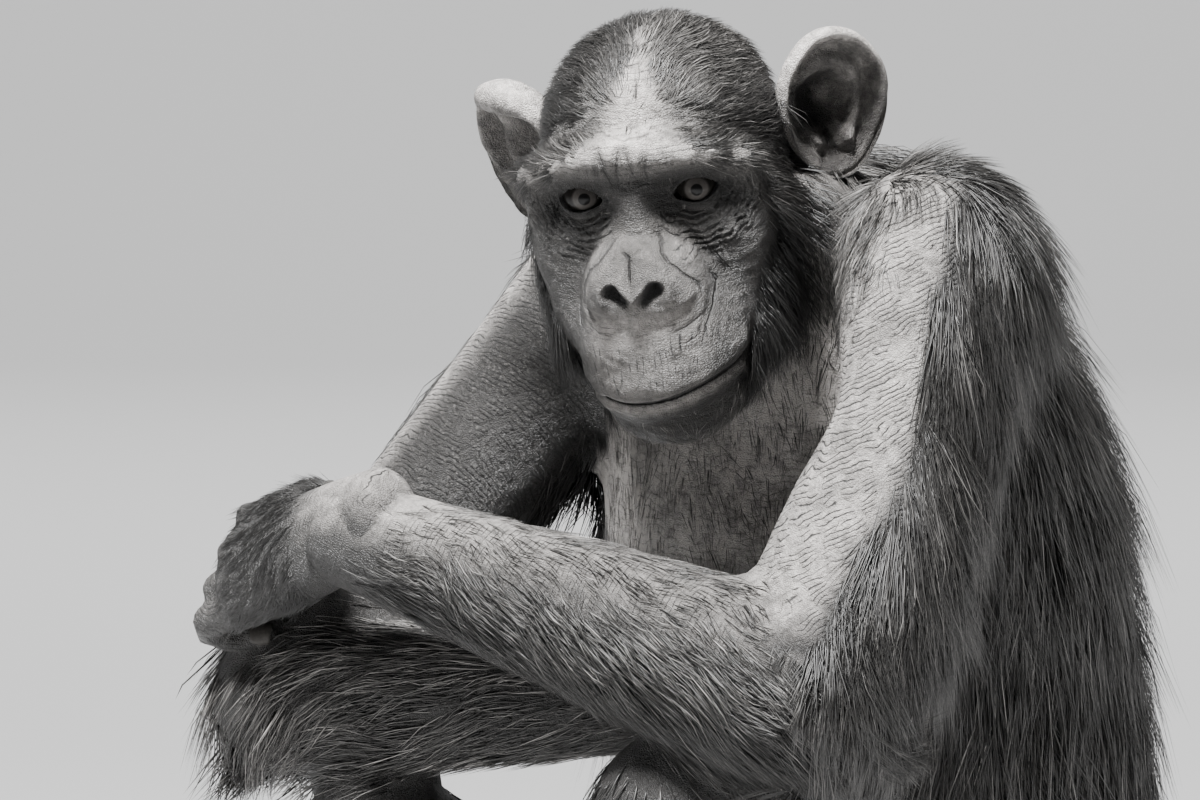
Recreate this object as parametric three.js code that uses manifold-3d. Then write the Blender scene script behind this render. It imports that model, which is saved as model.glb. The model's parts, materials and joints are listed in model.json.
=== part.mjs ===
// A chimpanzee sitting on the ground, as a still, life-size model: its arms are folded over its
// raised knees and its head is turned to its left. Millimetres, +Z up; the animal faces -Y and its
// own left is +X. The origin is on the floor, under the middle of the seat.
import * as THREE from "three";
import Module from "manifold-3d";

const wasm = await Module();
wasm.setup();

// Left between two pieces that touch, and sunk below a surface by whatever grows from it
const gap = 0.35;

// The head: the point midway between the eyes, and how far the face is turned to the animal's left,
// nodded down and tilted, in degrees
const eyeMiddle = new THREE.Vector3(72, -192, 621);
const faceTurn = 38;
const faceNod = 20;
const faceTilt = -5.5;
const eyeSpacing = 57;
const eyeRadius = 10.3;

// The joints of the skeleton that the flesh is laid over
const joint = {
  leftShoulder: [151, -65, 590],
  leftElbow: [199, -181, 384],
  leftWrist: [-56, -276, 453],
  leftKnuckles: [-128, -287, 432],
  rightShoulder: [-124, -52, 556],
  rightElbow: [-136, -255, 363],
  rightWrist: [64, -140, 371],
  rightKnuckles: [128, -122, 366],
  leftHip: [76, -12, 96],
  leftKnee: [112, -206, 322],
  leftAnkle: [114, -286, 62],
  rightHip: [-70, -12, 96],
  rightKnee: [-92, -228, 292],
  rightAnkle: [-100, -306, 62],
};

const skinColour = 0x6d6965;
const coatColour = 0x25221f;
const eyeColour = 0x6a645b;

function vector(x, y, z) {
  return Array.isArray(x) ? new THREE.Vector3(...x) : new THREE.Vector3(x, y, z);
}

function between(a, b, share) {
  return a + (b - a) * share;
}

// Draws numbers between 0 and 1, the same ones on every run
function seededDraws(seed) {
  let state = seed;
  return () => {
    state = (state * 1664525 + 1013904223) % 4294967296;
    return state / 4294967296;
  };
}

// Rises smoothly from 0 to 1 as the value goes from low to high
function smoothStep(value, low, high) {
  const share = Math.min(1, Math.max(0, (value - low) / (high - low)));
  return share * share * (3 - 2 * share);
}

// A smooth curve through the rows of a table of knots, read at a fraction of the row number
function along(knots, at) {
  const last = knots.length - 1;
  const start = Math.min(last - 1, Math.max(0, Math.floor(at)));
  const f = Math.min(1, Math.max(0, at - start));
  const row = (i) => knots[Math.min(last, Math.max(0, i))];
  return row(start).map((b, column) => {
    const a = row(start - 1)[column];
    const c = row(start + 1)[column];
    const d = row(start + 2)[column];
    const bend = (2 * a - 5 * b + 4 * c - d) * f * f + (3 * b - 3 * c + d - a) * f * f * f;
    return b + 0.5 * ((c - a) * f + bend);
  });
}

// A closed solid from rows of points, each row a ring, with one point closing either end
function ringedSolid(first, rings, last) {
  const around = rings[0].length;
  const points = [first, ...rings.flat(), last];
  const triangles = [];
  for (let i = 0; i < around; i++) {
    const next = (i + 1) % around;
    triangles.push(0, 1 + next, 1 + i);
    const base = 1 + (rings.length - 1) * around;
    triangles.push(points.length - 1, base + i, base + next);
    for (let r = 0; r + 1 < rings.length; r++) {
      const a = 1 + r * around;
      const b = a + around;
      triangles.push(a + i, a + next, b + i, a + next, b + next, b + i);
    }
  }
  return closedSolid(points, triangles);
}

function closedSolid(points, triangles) {
  const vertProperties = new Float32Array(points.flatMap((p) => [p.x, p.y, p.z]));
  const make = (order) =>
    new wasm.Manifold(
      new wasm.Mesh({ numProp: 3, vertProperties, triVerts: new Uint32Array(order) }),
    );
  const solid = make(triangles);
  return solid.volume() > 0 ? solid : make(triangles.toReversed());
}

function joined(solids) {
  return solids.length > 1 ? wasm.Manifold.union(solids) : solids[0];
}

// What lies above the floor
function aboveFloor(solid) {
  return solid.trimByPlane([0, 0, 1], 0);
}

// Hair tapers from a point of the body to a free tip beyond it, as at the back of an elbow
function freeLocks({ root, towards, spread, length, width, count, seed }) {
  const draw = seededDraws(seed);
  const way = vector(towards).normalize();
  const across = new THREE.Vector3().crossVectors(way, vector(spread)).normalize();
  return Array.from({ length: count }, (_, i) => {
    const fan = count > 1 ? (2 * i) / (count - 1) - 1 : 0;
    const start = vector(root)
      .addScaledVector(across, 20 * fan)
      .addScaledVector(vector(spread), 8 * (draw() - 0.5));
    const aim = way
      .clone()
      .addScaledVector(across, -0.16 * fan + 0.08 * (draw() - 0.5))
      .normalize();
    const reach = length * between(0.85, 1.1, draw());
    const path = (share) => ({
      at: start
        .clone()
        .addScaledVector(aim, reach * share)
        .add(vector(0, 0, -0.12 * reach * share * share)),
      out: vector(spread).normalize(),
    });
    return { path, width: width * between(0.85, 1.15, draw()), roundness: 60 };
  });
}

// A lock of hair: a flat ribbon, thickest down its middle, that starts under the skin, widens and
// runs out to a point. Its path gives a place and the way out of the body for each share of it.
const lockSteps = 4;
const lockThickness = 3;

function lockSolid({ path, width, roundness }, grow) {
  const room = 2.5 * grow; // its faces are bent quadrilaterals, so a lock is given more room
  const rings = [];
  for (let i = 0; i < lockSteps; i++) {
    const share = i / lockSteps;
    const { at, out } = path(share);
    const way = path(share + 0.1).at.sub(at).normalize();
    const side = new THREE.Vector3().crossVectors(way, out).normalize();
    const up = new THREE.Vector3().crossVectors(side, way);
    const half = 0.5 * width * Math.min(1, 0.6 + 1.6 * share) * (1 - 1.3 * Math.max(0, share - 0.3));
    const thick = 0.5 * lockThickness * (1 - 0.5 * share);
    const wrap = (half * half) / (2 * roundness);
    const point = (across, lift) => at.clone().addScaledVector(side, across).addScaledVector(up, lift);
    rings.push([
      point(-half - room, -wrap),
      point(0, -thick - room),
      point(half + room, -wrap),
      point(0, thick + room),
    ]);
  }
  const start = path(0).at.lerp(path(0.2).at, -0.05);
  const end = path(1).at;
  const tip = end.addScaledVector(end.clone().sub(path(0.9).at).normalize(), 2 * room);
  return ringedSolid(start, rings, tip);
}

// How high a lock runs over the skin: from well under it up to the tips of the coat
function lockHeight(share, depth) {
  const root = -7;
  return between(root, depth, Math.min(1, 2.4 * share)) - 0.12 * depth * share * share;
}

// A stretch of the body: knots down its middle, each [x, y, z, half width, front, back], a dome on
// either end, and a coat whose depth depends on the place along it and the way the surface looks
class Stretch {
  constructor({ tufts = [], ...stretch }) {
    const usual = { sides: 12, rings: 8, dome: [1, 1], domeRings: 3, coat: () => 0 };
    Object.assign(this, usual, stretch, { facing: vector(stretch.facing) });
    this.locks = tufts.flatMap((rows) => (rows.root ? freeLocks(rows) : this.rowsOfLocks(rows)));
  }

  // Locks in rows across the coat. Each runs a way along the stretch and drifts round it; places
  // and angles, in degrees, are spread evenly and then shifted a little.
  rowsOfLocks({ places, angles, rows, perRow, run, drift = 0, width, seed }) {
    const draw = seededDraws(seed);
    const locks = [];
    for (let row = 0; row < rows; row++) {
      for (let i = 0; i < perRow; i++) {
        const stagger = row % 2 ? 0.5 : 0;
        const acrossShare = (i + stagger + 0.3 * (draw() - 0.5)) / Math.max(1, perRow - 0.5);
        const alongShare = (row + 0.3 * (draw() - 0.5)) / Math.max(1, rows - 1);
        const start = between(places[0], places[1], alongShare);
        const turn = THREE.MathUtils.degToRad(between(angles[0], angles[1], acrossShare));
        const length = run * between(0.85, 1.15, draw());
        const sway = THREE.MathUtils.degToRad(drift + 10 * (draw() - 0.5));
        const path = (share) => {
          const place = start + length * share;
          const angle = turn + sway * share * share;
          const height = lockHeight(share, this.coatDepth(place, angle));
          return { at: this.point(place, angle, height), out: this.outward(place, angle) };
        };
        const { radii } = this.section(start);
        locks.push({ path, width: width * between(0.85, 1.15, draw()), roundness: radii[0] });
      }
    }
    return locks;
  }

  // The middle line, the three directions of the section and its three radii. Places run from 0 to
  // 1 along the knots, and on to -1 and 2 over the domes.
  section(place) {
    const last = this.knots.length - 1;
    const onLine = Math.min(1, Math.max(0, place));
    const row = along(this.knots, onLine * last);
    const step = 0.02 * last;
    const ahead = along(this.knots, Math.min(last, onLine * last + step));
    const behind = along(this.knots, Math.max(0, onLine * last - step));
    const line = vector(ahead[0] - behind[0], ahead[1] - behind[1], ahead[2] - behind[2]).normalize();
    const front = this.facing.clone().addScaledVector(line, -this.facing.dot(line)).normalize();
    const side = new THREE.Vector3().crossVectors(line, front);
    return { middle: vector(row[0], row[1], row[2]), line, front, side, radii: row.slice(3) };
  }

  // The point at an angle round a section, at a height over the skin
  point(place, angle, height) {
    const { middle, line, front, side, radii } = this.section(place);
    const beyond = place < 0 ? -place : Math.max(0, place - 1);
    const lean = Math.min(1, beyond) * 0.5 * Math.PI;
    const cosine = Math.cos(angle);
    const sine = Math.sin(angle);
    const depth = sine > 0 ? radii[1] : radii[2];
    const spread = Math.cos(lean);
    const domeDepth = radii[0] * (place < 0 ? this.dome[0] : this.dome[1]);
    const rise = Math.sin(lean) * (domeDepth + height) * (place < 0 ? -1 : 1);
    return middle
      .addScaledVector(side, cosine * (radii[0] + height) * spread)
      .addScaledVector(front, sine * (depth + height) * spread)
      .addScaledVector(line, beyond ? rise : 0);
  }

  // Which way the surface looks
  outward(place, angle) {
    const { line, front, side } = this.section(place);
    const beyond = place < 0 ? place : Math.max(0, place - 1);
    const lean = Math.max(-1, Math.min(1, beyond)) * 0.5 * Math.PI;
    return side
      .multiplyScalar(Math.cos(angle) * Math.cos(lean))
      .addScaledVector(front, Math.sin(angle) * Math.cos(lean))
      .addScaledVector(line, Math.sin(lean));
  }

  coatDepth(place, angle) {
    return this.coat(Math.min(1, Math.max(0, place)), this.outward(place, angle));
  }

  // The skin, and a share of the coat's depth over it, as a solid
  solid(grow, coatShare = 1) {
    const { domeRings } = this;
    const places = [];
    for (let i = domeRings - 1; i > 0; i--) places.push(-i / domeRings);
    for (let i = 0; i <= this.rings; i++) places.push(i / this.rings);
    for (let i = 1; i < domeRings; i++) places.push(1 + i / domeRings);
    const surface = (place, angle) =>
      this.point(place, angle, grow + coatShare * this.coatDepth(place, angle));
    const rings = places.map((place) =>
      Array.from({ length: this.sides }, (_, i) => surface(place, (i / this.sides) * 2 * Math.PI)),
    );
    const body = ringedSolid(surface(-1, 0), rings, surface(2, 0));
    return joined([body, ...this.locks.map((lock) => lockSolid(lock, grow))]);
  }
}

// Coat that is longest where the surface looks one way: thin elsewhere, deep that way, and deepest
// at one place along the stretch
function hangingCoat({ thin, deep, towards, peak = 0.5, spread = 1 }) {
  const way = vector(towards).normalize();
  return (place, outward) => {
    const faces = smoothStep(outward.dot(way), -0.2, 0.9);
    const fullness = 1 - spread * Math.min(1, Math.abs(place - peak) / 0.8);
    return thin + (deep - thin) * faces * Math.max(0.25, fullness);
  };
}

// Head: one smooth surface blended from the masses of the skull and its flesh, in the face's own
// frame, where x is the animal's left, y runs back and z up from the point between the eyes
const faceFrame = new THREE.Matrix4()
  .makeRotationZ(THREE.MathUtils.degToRad(faceTurn))
  .multiply(new THREE.Matrix4().makeRotationX(THREE.MathUtils.degToRad(faceNod)))
  .multiply(new THREE.Matrix4().makeRotationY(THREE.MathUtils.degToRad(faceTilt)))
  .setPosition(eyeMiddle);

// Each mass: its middle, then its three radii
const headMasses = [
  { at: [0, 58, 12], size: [57, 72, 56] }, // braincase
  { at: [0, 24, -20], size: [55, 41, 42] }, // face between the cheekbones
  { at: [4, -12, -65], size: [43, 47, 34] }, // muzzle
  { at: [5, -8, -97], size: [36, 42, 27] }, // lower jaw
  { at: [1, 44, -52], size: [49, 46, 46] }, // angle of the jaw
  { at: [42, 14, -22], size: [17, 22, 17] }, // cheekbones
  { at: [-42, 14, -22], size: [17, 22, 17] },
  { at: [36, 14, -54], size: [19, 28, 30] }, // cheeks
  { at: [-36, 12, -54], size: [19, 28, 30] },
  { at: [0, -10, -14], size: [12, 12, 24] }, // bridge of the nose
  { at: [1, -24, -32], size: [28, 19, 16] }, // pad of the nose
  { at: [2, -37, -26], size: [12, 11, 9] }, // tip of the nose
  { at: [14, -38, -28], size: [9, 9, 7] }, // wings of the nose
  { at: [-10, -38, -28], size: [9, 9, 7] },
  { at: [0, 78, -42], size: [46, 56, 44] }, // nape
];
const massBlend = 16;

// The brow ridge and the two lips are rounded bars along a curve
const browHalfWidth = 55;
const browRidge = {
  path: (share) => {
    const x = browHalfWidth * (2 * share - 1);
    return [x, -12 + 0.0078 * x * x, 24 - 0.0056 * x * x];
  },
  radius: (share) => 10.5 - 3 * Math.abs(2 * share - 1) ** 3,
};
const mouthSpan = [-32, 44];
const mouthHeight = (x) => -87.5 + 0.1 * x + 0.0023 * x * x;
const mouthFront = (x) => -56 + 0.019 * (x - 6) * (x - 6);
const upperLip = {
  path: (share) => {
    const x = between(mouthSpan[0], mouthSpan[1], share);
    return [x, mouthFront(x) + 3, mouthHeight(x) + 9];
  },
  radius: (share) => 8.5 - 20 * (share - 0.5) ** 2,
};
const lowerLip = {
  path: (share) => {
    const x = between(mouthSpan[0], mouthSpan[1], share);
    return [x, mouthFront(x) + 4, mouthHeight(x) - 5.5];
  },
  radius: (share) => 5 - 13 * (share - 0.5) ** 2,
};

function ellipsoidDistance(p, { at, size }) {
  const k = Math.hypot((p.x - at[0]) / size[0], (p.y - at[1]) / size[1], (p.z - at[2]) / size[2]);
  const slope = Math.hypot(
    (p.x - at[0]) / size[0] ** 2,
    (p.y - at[1]) / size[1] ** 2,
    (p.z - at[2]) / size[2] ** 2,
  );
  return (k * (k - 1)) / Math.max(slope, 1e-6);
}

function barDistance(p, { path, radius }) {
  const steps = 12;
  let nearest = Infinity;
  for (let i = 0; i < steps; i++) {
    const [ax, ay, az] = path(i / steps);
    const [bx, by, bz] = path((i + 1) / steps);
    const [dx, dy, dz] = [bx - ax, by - ay, bz - az];
    const along = ((p.x - ax) * dx + (p.y - ay) * dy + (p.z - az) * dz) / (dx * dx + dy * dy + dz * dz);
    const f = Math.min(1, Math.max(0, along));
    const reach = Math.hypot(p.x - ax - f * dx, p.y - ay - f * dy, p.z - az - f * dz);
    nearest = Math.min(nearest, reach - radius((i + f) / steps));
  }
  return nearest;
}

// The lower of two distances, blended where they are close
function smoothMin(a, b, blend) {
  const h = Math.max(0, blend - Math.abs(a - b)) / blend;
  return Math.min(a, b) - 0.25 * blend * h * h;
}

const eyeSockets = [-1, 1].map((side) => ({ at: [side * 29 + 1, -22, 2], size: [19, 15, 12] }));

// Distance from the skin of the head, negative inside
function headDistance(p) {
  let distance = Infinity;
  for (const mass of headMasses) {
    distance = smoothMin(distance, ellipsoidDistance(p, mass), massBlend);
  }
  distance = smoothMin(distance, barDistance(p, browRidge), 8);
  for (const socket of eyeSockets) {
    distance = -smoothMin(-distance, ellipsoidDistance(p, socket), 8);
  }
  distance = smoothMin(distance, barDistance(p, upperLip), 8);
  return smoothMin(distance, barDistance(p, lowerLip), 5);
}

// Coat over the head, by direction from its middle: none on the face, short on the crown, long on
// the cheeks, under the ears and down the nape
const headMiddle = vector(1, 38, -24);
function headCoat(direction) {
  const behindFace = smoothStep(direction.y, -0.35, 0.1);
  const crown = 6 * behindFace * smoothStep(direction.z, -0.1, 0.4);
  const low = smoothStep(-direction.z, -0.15, 0.3);
  const onSide = smoothStep(Math.abs(direction.x), 0.35, 0.8) * smoothStep(direction.y, -0.45, 0);
  const cheek = 22 * low * onSide;
  const nape = 14 * low * smoothStep(direction.y, 0.3, 0.8);
  return Math.max(crown, cheek, nape);
}

// The outermost place where a ray from the head's middle meets the skin
function headRadius(direction) {
  const p = new THREE.Vector3();
  const value = (r) => headDistance(p.copy(headMiddle).addScaledVector(direction, r));
  let outside = 170;
  let inside = outside;
  while (value(inside) > 0 && inside > 10) {
    outside = inside;
    inside -= 3;
  }
  for (let i = 0; i < 14; i++) {
    const middle = 0.5 * (inside + outside);
    if (value(middle) > 0) outside = middle;
    else inside = middle;
  }
  return outside;
}

// Directions ring after ring round the muzzle, closest together on the face
const headRings = 26;
const headSides = 38;
const facePole = vector(0.04, -1, -0.42).normalize();
function headDirection(ring, turn) {
  const lean = Math.PI * Math.pow(ring / headRings, 1.3);
  const up = vector(0, 0, 1).addScaledVector(facePole, -facePole.z).normalize();
  const side = new THREE.Vector3().crossVectors(up, facePole);
  return facePole
    .clone()
    .multiplyScalar(Math.cos(lean))
    .addScaledVector(up, Math.sin(lean) * Math.cos(turn))
    .addScaledVector(side, Math.sin(lean) * Math.sin(turn));
}

const headSurface = [];
for (let ring = 0; ring <= headRings; ring++) {
  headSurface.push(
    Array.from({ length: headSides }, (_, i) => {
      const direction = headDirection(ring, (i / headSides) * 2 * Math.PI);
      return { direction, radius: headRadius(direction) };
    }),
  );
}

// A ring's neighbours even out the steps that its rays leave
const smoothedSurface = headSurface.map((ring, r) =>
  ring.map(({ direction, radius }, i) => {
    const beside = ring[(i + 1) % headSides].radius + ring.at(i - 1).radius;
    const before = headSurface[Math.max(0, r - 1)][i].radius;
    const after = headSurface[Math.min(headRings, r + 1)][i].radius;
    return { direction, radius: (3 * radius + beside + before + after) / 7 };
  }),
);

function headBase(grow, coatShare) {
  const place = ({ direction, radius }) =>
    headMiddle
      .clone()
      .addScaledVector(direction, radius + grow + coatShare * headCoat(direction))
      .applyMatrix4(faceFrame);
  const rings = smoothedSurface.slice(1, -1).map((ring) => ring.map(place));
  return ringedSolid(place(smoothedSurface[0][0]), rings, place(smoothedSurface.at(-1)[0]));
}

// Whiskers from the cheeks and the angle of the jaw, and the hair of the nape, as locks that run
// down and back over the head from a direction seen from its middle
const whiskerRows = [
  { from: [0.88, 0.16, 0.1], to: [0.76, -0.08, -0.5], count: 2, width: 34, seed: 81 },
  { from: [0.95, 0.45, 0.15], to: [0.84, 0.34, -0.45], count: 2, width: 38, seed: 82 },
];
const napeRow = { from: [0.75, 0.66, 0.5], to: [-0.75, 0.66, 0.5], count: 4, width: 50, seed: 83 };

function headLock(start, fall, width) {
  const path = (share) => {
    const direction = start.clone().addScaledVector(fall, share).normalize();
    const height = lockHeight(share, headCoat(direction));
    const at = headMiddle.clone().addScaledVector(direction, headRadius(direction) + height);
    return { at: at.applyMatrix4(faceFrame), out: direction.clone().transformDirection(faceFrame) };
  };
  return { path, width, roundness: 60 };
}

function headLocks() {
  const locks = [];
  const fallOnCheek = vector(0, 0.1, -0.62);
  const fallOnNape = vector(0, 0.1, -0.8);
  const addRow = ({ from, to, count, width, seed }, side, fall) => {
    const draw = seededDraws(seed);
    for (let i = 0; i < count; i++) {
      const start = vector(from).lerp(vector(to), (i + 0.3 * (draw() - 0.5)) / (count - 1));
      start.x *= side;
      locks.push(headLock(start.normalize(), fall, width * between(0.85, 1.15, draw())));
    }
  };
  for (const side of [-1, 1]) {
    for (const row of whiskerRows) addRow(row, side, fallOnCheek);
  }
  addRow(napeRow, 1, fallOnNape);
  return locks;
}

// A ball or a longer mass, in the face's frame
function faceBall(at, size, sides, rings) {
  const rows = [];
  for (let r = 1; r < rings; r++) {
    const lean = (r / rings) * Math.PI;
    rows.push(
      Array.from({ length: sides }, (_, i) => {
        const turn = (i / sides) * 2 * Math.PI;
        const x = at[0] + size[0] * Math.sin(lean) * Math.cos(turn);
        const z = at[2] + size[2] * Math.sin(lean) * Math.sin(turn);
        return vector(x, at[1] - size[1] * Math.cos(lean), z).applyMatrix4(faceFrame);
      }),
    );
  }
  const front = vector(at[0], at[1] - size[1], at[2]).applyMatrix4(faceFrame);
  const back = vector(at[0], at[1] + size[1], at[2]).applyMatrix4(faceFrame);
  return ringedSolid(front, rows, back);
}

// Eyes sit in lids: a ball of lid over each eye, opened by an almond whose ends are the corners
const lidThickness = 2.6;
const almondWidth = 23;
const almondHeight = 12.5;

function eyeAt(side) {
  return [side * 0.5 * eyeSpacing + 1, 0, 3.5];
}

function lidOpening(side) {
  const [x, , z] = eyeAt(side);
  const corners = 14;
  const outline = Array.from({ length: corners }, (_, i) => {
    const turn = (i / corners) * 2 * Math.PI;
    const across = Math.cos(turn);
    const half = 0.5 * almondHeight * (1 - across * across) * Math.sign(Math.sin(turn) || 1);
    return [x + 0.5 * almondWidth * across, z + half + side * 1.2 * across];
  });
  const ring = (y) => outline.map(([px, pz]) => vector(px, y, pz).applyMatrix4(faceFrame));
  const front = -40;
  const cap = (y) => vector(x, y, z).applyMatrix4(faceFrame);
  return ringedSolid(cap(front), [ring(front), ring(-2)], cap(-2));
}

// The line of the mouth: a wedge drawn from corner to corner, its edge inside the lips
function mouthCut() {
  const stations = 16;
  const mouthReach = 60;
  const depth = 7;
  const opening = 1.6;
  const rings = [];
  for (let i = 0; i <= stations; i++) {
    const x = between(mouthSpan[0], mouthSpan[1], i / stations);
    const z = mouthHeight(x);
    const away = vector(x - headMiddle.x, -mouthReach, 0).normalize();
    const surface = faceSurface(x, z);
    const place = (out, up) =>
      surface.clone().addScaledVector(away, out).add(vector(0, 0, up)).applyMatrix4(faceFrame);
    rings.push([place(6, opening), place(-depth, 0), place(6, -opening)]);
  }
  const middle = (ring) => ring.reduce((sum, p) => sum.add(p), vector(0, 0, 0)).divideScalar(3);
  const copy = (ring) => ring.map((p) => p.clone());
  return ringedSolid(middle(copy(rings[0])), rings, middle(copy(rings.at(-1))));
}

// The skin of the face straight in front of a place
function faceSurface(x, z) {
  const p = vector(x, -90, z);
  while (headDistance(p) > 0 && p.y < 20) p.y += 0.5;
  return p;
}

function nostril(side) {
  return faceBall([2.6 + side * 7.4, -47, -31], [5.6, 9, 4.4], 10, 6);
}

function headSolid(grow, coatShare) {
  const lids = [-1, 1].map((side) => {
    const lidRadius = eyeRadius + lidThickness + grow;
    return faceBall(eyeAt(side), [lidRadius, lidRadius, lidRadius], 12, 7);
  });
  const locks = headLocks().map((lock) => lockSolid(lock, grow));
  return joined([headBase(grow, coatShare), ...lids, ...locks]);
}

function openedHead(coatShare) {
  let head = headSolid(0, coatShare);
  for (const side of [-1, 1]) {
    const room = eyeRadius + gap;
    head = head
      .subtract(lidOpening(side))
      .subtract(faceBall(eyeAt(side), [room, room, room], 12, 7))
      .subtract(nostril(side));
  }
  return head.subtract(mouthCut());
}

function eyeSolid(side) {
  return faceBall(eyeAt(side), [eyeRadius, eyeRadius, eyeRadius], 12, 7);
}

// Ears: a cupped plate with a rolled rim, set on the side of the head
const earHeight = 75;
const earWidth = 64;
const earTurn = 43;
const earRoot = { left: [60, 74, 6], right: [60, 74, -2] };
const earWall = [
  // share of the radius, depth: from the middle of the cup over the rim to the back
  [0.3, 9],
  [0.62, 7.5],
  [0.8, 2],
  [0.88, -2.5],
  [0.95, -4.5],
  [1, -2],
  [0.97, 3],
  [0.84, 7],
  [0.6, 12],
  [0.3, 14],
];

function earSolid(side, grow) {
  const turn = THREE.MathUtils.degToRad(earTurn);
  const outward = vector(Math.cos(turn), Math.sin(turn), 0);
  const inward = vector(-Math.sin(turn), Math.cos(turn), 0);
  const root = vector(side > 0 ? earRoot.left : earRoot.right);
  const middle = root.addScaledVector(outward, 0.46 * earWidth);
  const around = 16;
  const place = (share, depth, angle) => {
    const across = 0.5 * earWidth * Math.cos(angle) * (1 + 0.1 * Math.sin(angle));
    const up = 0.5 * earHeight * Math.sin(angle) * (1 - 0.06 * Math.cos(2 * angle));
    const p = middle
      .clone()
      .addScaledVector(outward, across * share)
      .addScaledVector(inward, depth)
      .add(vector(0, 0, up * share));
    p.x *= side;
    return p.applyMatrix4(faceFrame);
  };
  const rings = earWall.map(([share, depth], i) => {
    const back = i > 4;
    return Array.from({ length: around }, (_, k) =>
      place(share + grow / 30, depth + (back ? grow : -grow), (k / around) * 2 * Math.PI),
    );
  });
  return ringedSolid(place(0, 9.5 - grow, 0), rings, place(0, 14.5 + grow, 0));
}

// Trunk: from the seat up the bent back to the root of the neck
const torso = new Stretch({
  facing: [0, -1, 0],
  sides: 20,
  rings: 11,
  dome: [0.42, 0.5],
  knots: [
    [2, 22, 34, 112, 92, 96],
    [2, 24, 110, 132, 104, 112],
    [2, 28, 200, 136, 114, 120],
    [1, 28, 290, 135, 118, 122],
    [-1, 18, 380, 134, 118, 120],
    [3, -2, 470, 134, 112, 116],
    [12, -28, 542, 122, 88, 96],
    [17, -54, 590, 82, 60, 72],
  ],
  coat: (place, outward) => {
    const back = smoothStep(outward.y, -0.35, 0.6);
    const taper = 1 - 0.45 * smoothStep(place, 0.75, 1);
    return 7 + 20 * back * taper;
  },
  tufts: [
    { places: [0.95, 0.36], angles: [176, 364], rows: 4, perRow: 6, run: -0.28, width: 62, seed: 11 },
    { places: [0.2, 0.2], angles: [180, 360], rows: 1, perRow: 5, run: -0.16, width: 62, seed: 12 },
  ],
});

const neck = new Stretch({
  facing: [0.3, -1, 0],
  sides: 18,
  rings: 4,
  dome: [0.4, 0.4],
  knots: [
    [18, -50, 566, 84, 66, 64],
    [29, -80, 590, 70, 62, 58],
    [36, -104, 604, 60, 56, 52],
  ],
  coat: (place, outward) => 4 + 12 * smoothStep(outward.y, -0.2, 0.7),
});

// A knot at a joint, or a share of the way to the next one, moved aside where asked
function knot(from, to, share, radii, shift = [0, 0, 0]) {
  return [...from.map((v, i) => between(v, to[i], share) + shift[i]), ...radii];
}

// Arms: the shoulder muscle, the upper arm and the long-haired forearm of each
const leftUpperArm = new Stretch({
  facing: [0.9, 0.45, 0],
  rings: 8,
  dome: [1, 0.9],
  knots: [
    knot(joint.leftShoulder, joint.leftElbow, 0, [50, 42, 50], [0, 2, 0]),
    knot(joint.leftShoulder, joint.leftElbow, 0.2, [49, 43, 38]),
    knot(joint.leftShoulder, joint.leftElbow, 0.4, [45, 43, 30], [0, 4, 0]),
    knot(joint.leftShoulder, joint.leftElbow, 0.6, [43, 42, 45], [0, 4, 0]),
    knot(joint.leftShoulder, joint.leftElbow, 0.8, [44, 42, 52], [0, 3, 0]),
    knot(joint.leftShoulder, joint.leftElbow, 1, [44, 38, 43]),
  ],
  coat: hangingCoat({ thin: 3, deep: 28, towards: [0.5, 0.85, -0.1], peak: 0.75, spread: 0.8 }),
  tufts: [
    { places: [0.02, 0.86], angles: [45, 130], rows: 3, perRow: 3, run: 0.46, width: 36, seed: 31 },
  ],
});

const leftForearm = new Stretch({
  facing: [0, -0.5, 0.86],
  rings: 7,
  dome: [0.9, 0.5],
  knots: [
    knot(joint.leftElbow, joint.leftWrist, 0, [41, 38, 42]),
    knot(joint.leftElbow, joint.leftWrist, 0.22, [41, 39, 42]),
    knot(joint.leftElbow, joint.leftWrist, 0.5, [37, 35, 37]),
    knot(joint.leftElbow, joint.leftWrist, 0.78, [31, 29, 31]),
    knot(joint.leftElbow, joint.leftWrist, 1, [30, 26, 27]),
  ],
  coat: hangingCoat({ thin: 4, deep: 20, towards: [0.5, 0.3, -1], peak: 0.1, spread: 0.8 }),
  tufts: [
    { places: [0.8, 0.05], angles: [215, 325], rows: 3, perRow: 2, run: -0.42, width: 36, seed: 41 },
    {
      root: [196, -190, 372],
      towards: [0.3, 0.25, -0.9],
      spread: [0.6, -0.75, 0],
      length: 60,
      width: 34,
      count: 3,
      seed: 42,
    },
  ],
});

const rightUpperArm = new Stretch({
  facing: [-0.9, 0.2, 0.3],
  rings: 7,
  dome: [1, 0.9],
  knots: [
    knot(joint.rightShoulder, joint.rightElbow, 0, [50, 42, 54]),
    knot(joint.rightShoulder, joint.rightElbow, 0.22, [46, 40, 48]),
    knot(joint.rightShoulder, joint.rightElbow, 0.5, [42, 38, 38]),
    knot(joint.rightShoulder, joint.rightElbow, 0.78, [40, 38, 36]),
    knot(joint.rightShoulder, joint.rightElbow, 1, [38, 36, 36]),
  ],
  coat: hangingCoat({ thin: 3, deep: 26, towards: [-0.9, 0.3, -0.2], peak: 0.7, spread: 0.8 }),
  tufts: [
    { places: [0.04, 0.84], angles: [55, 125], rows: 3, perRow: 2, run: 0.5, width: 42, seed: 51 },
  ],
});

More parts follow.
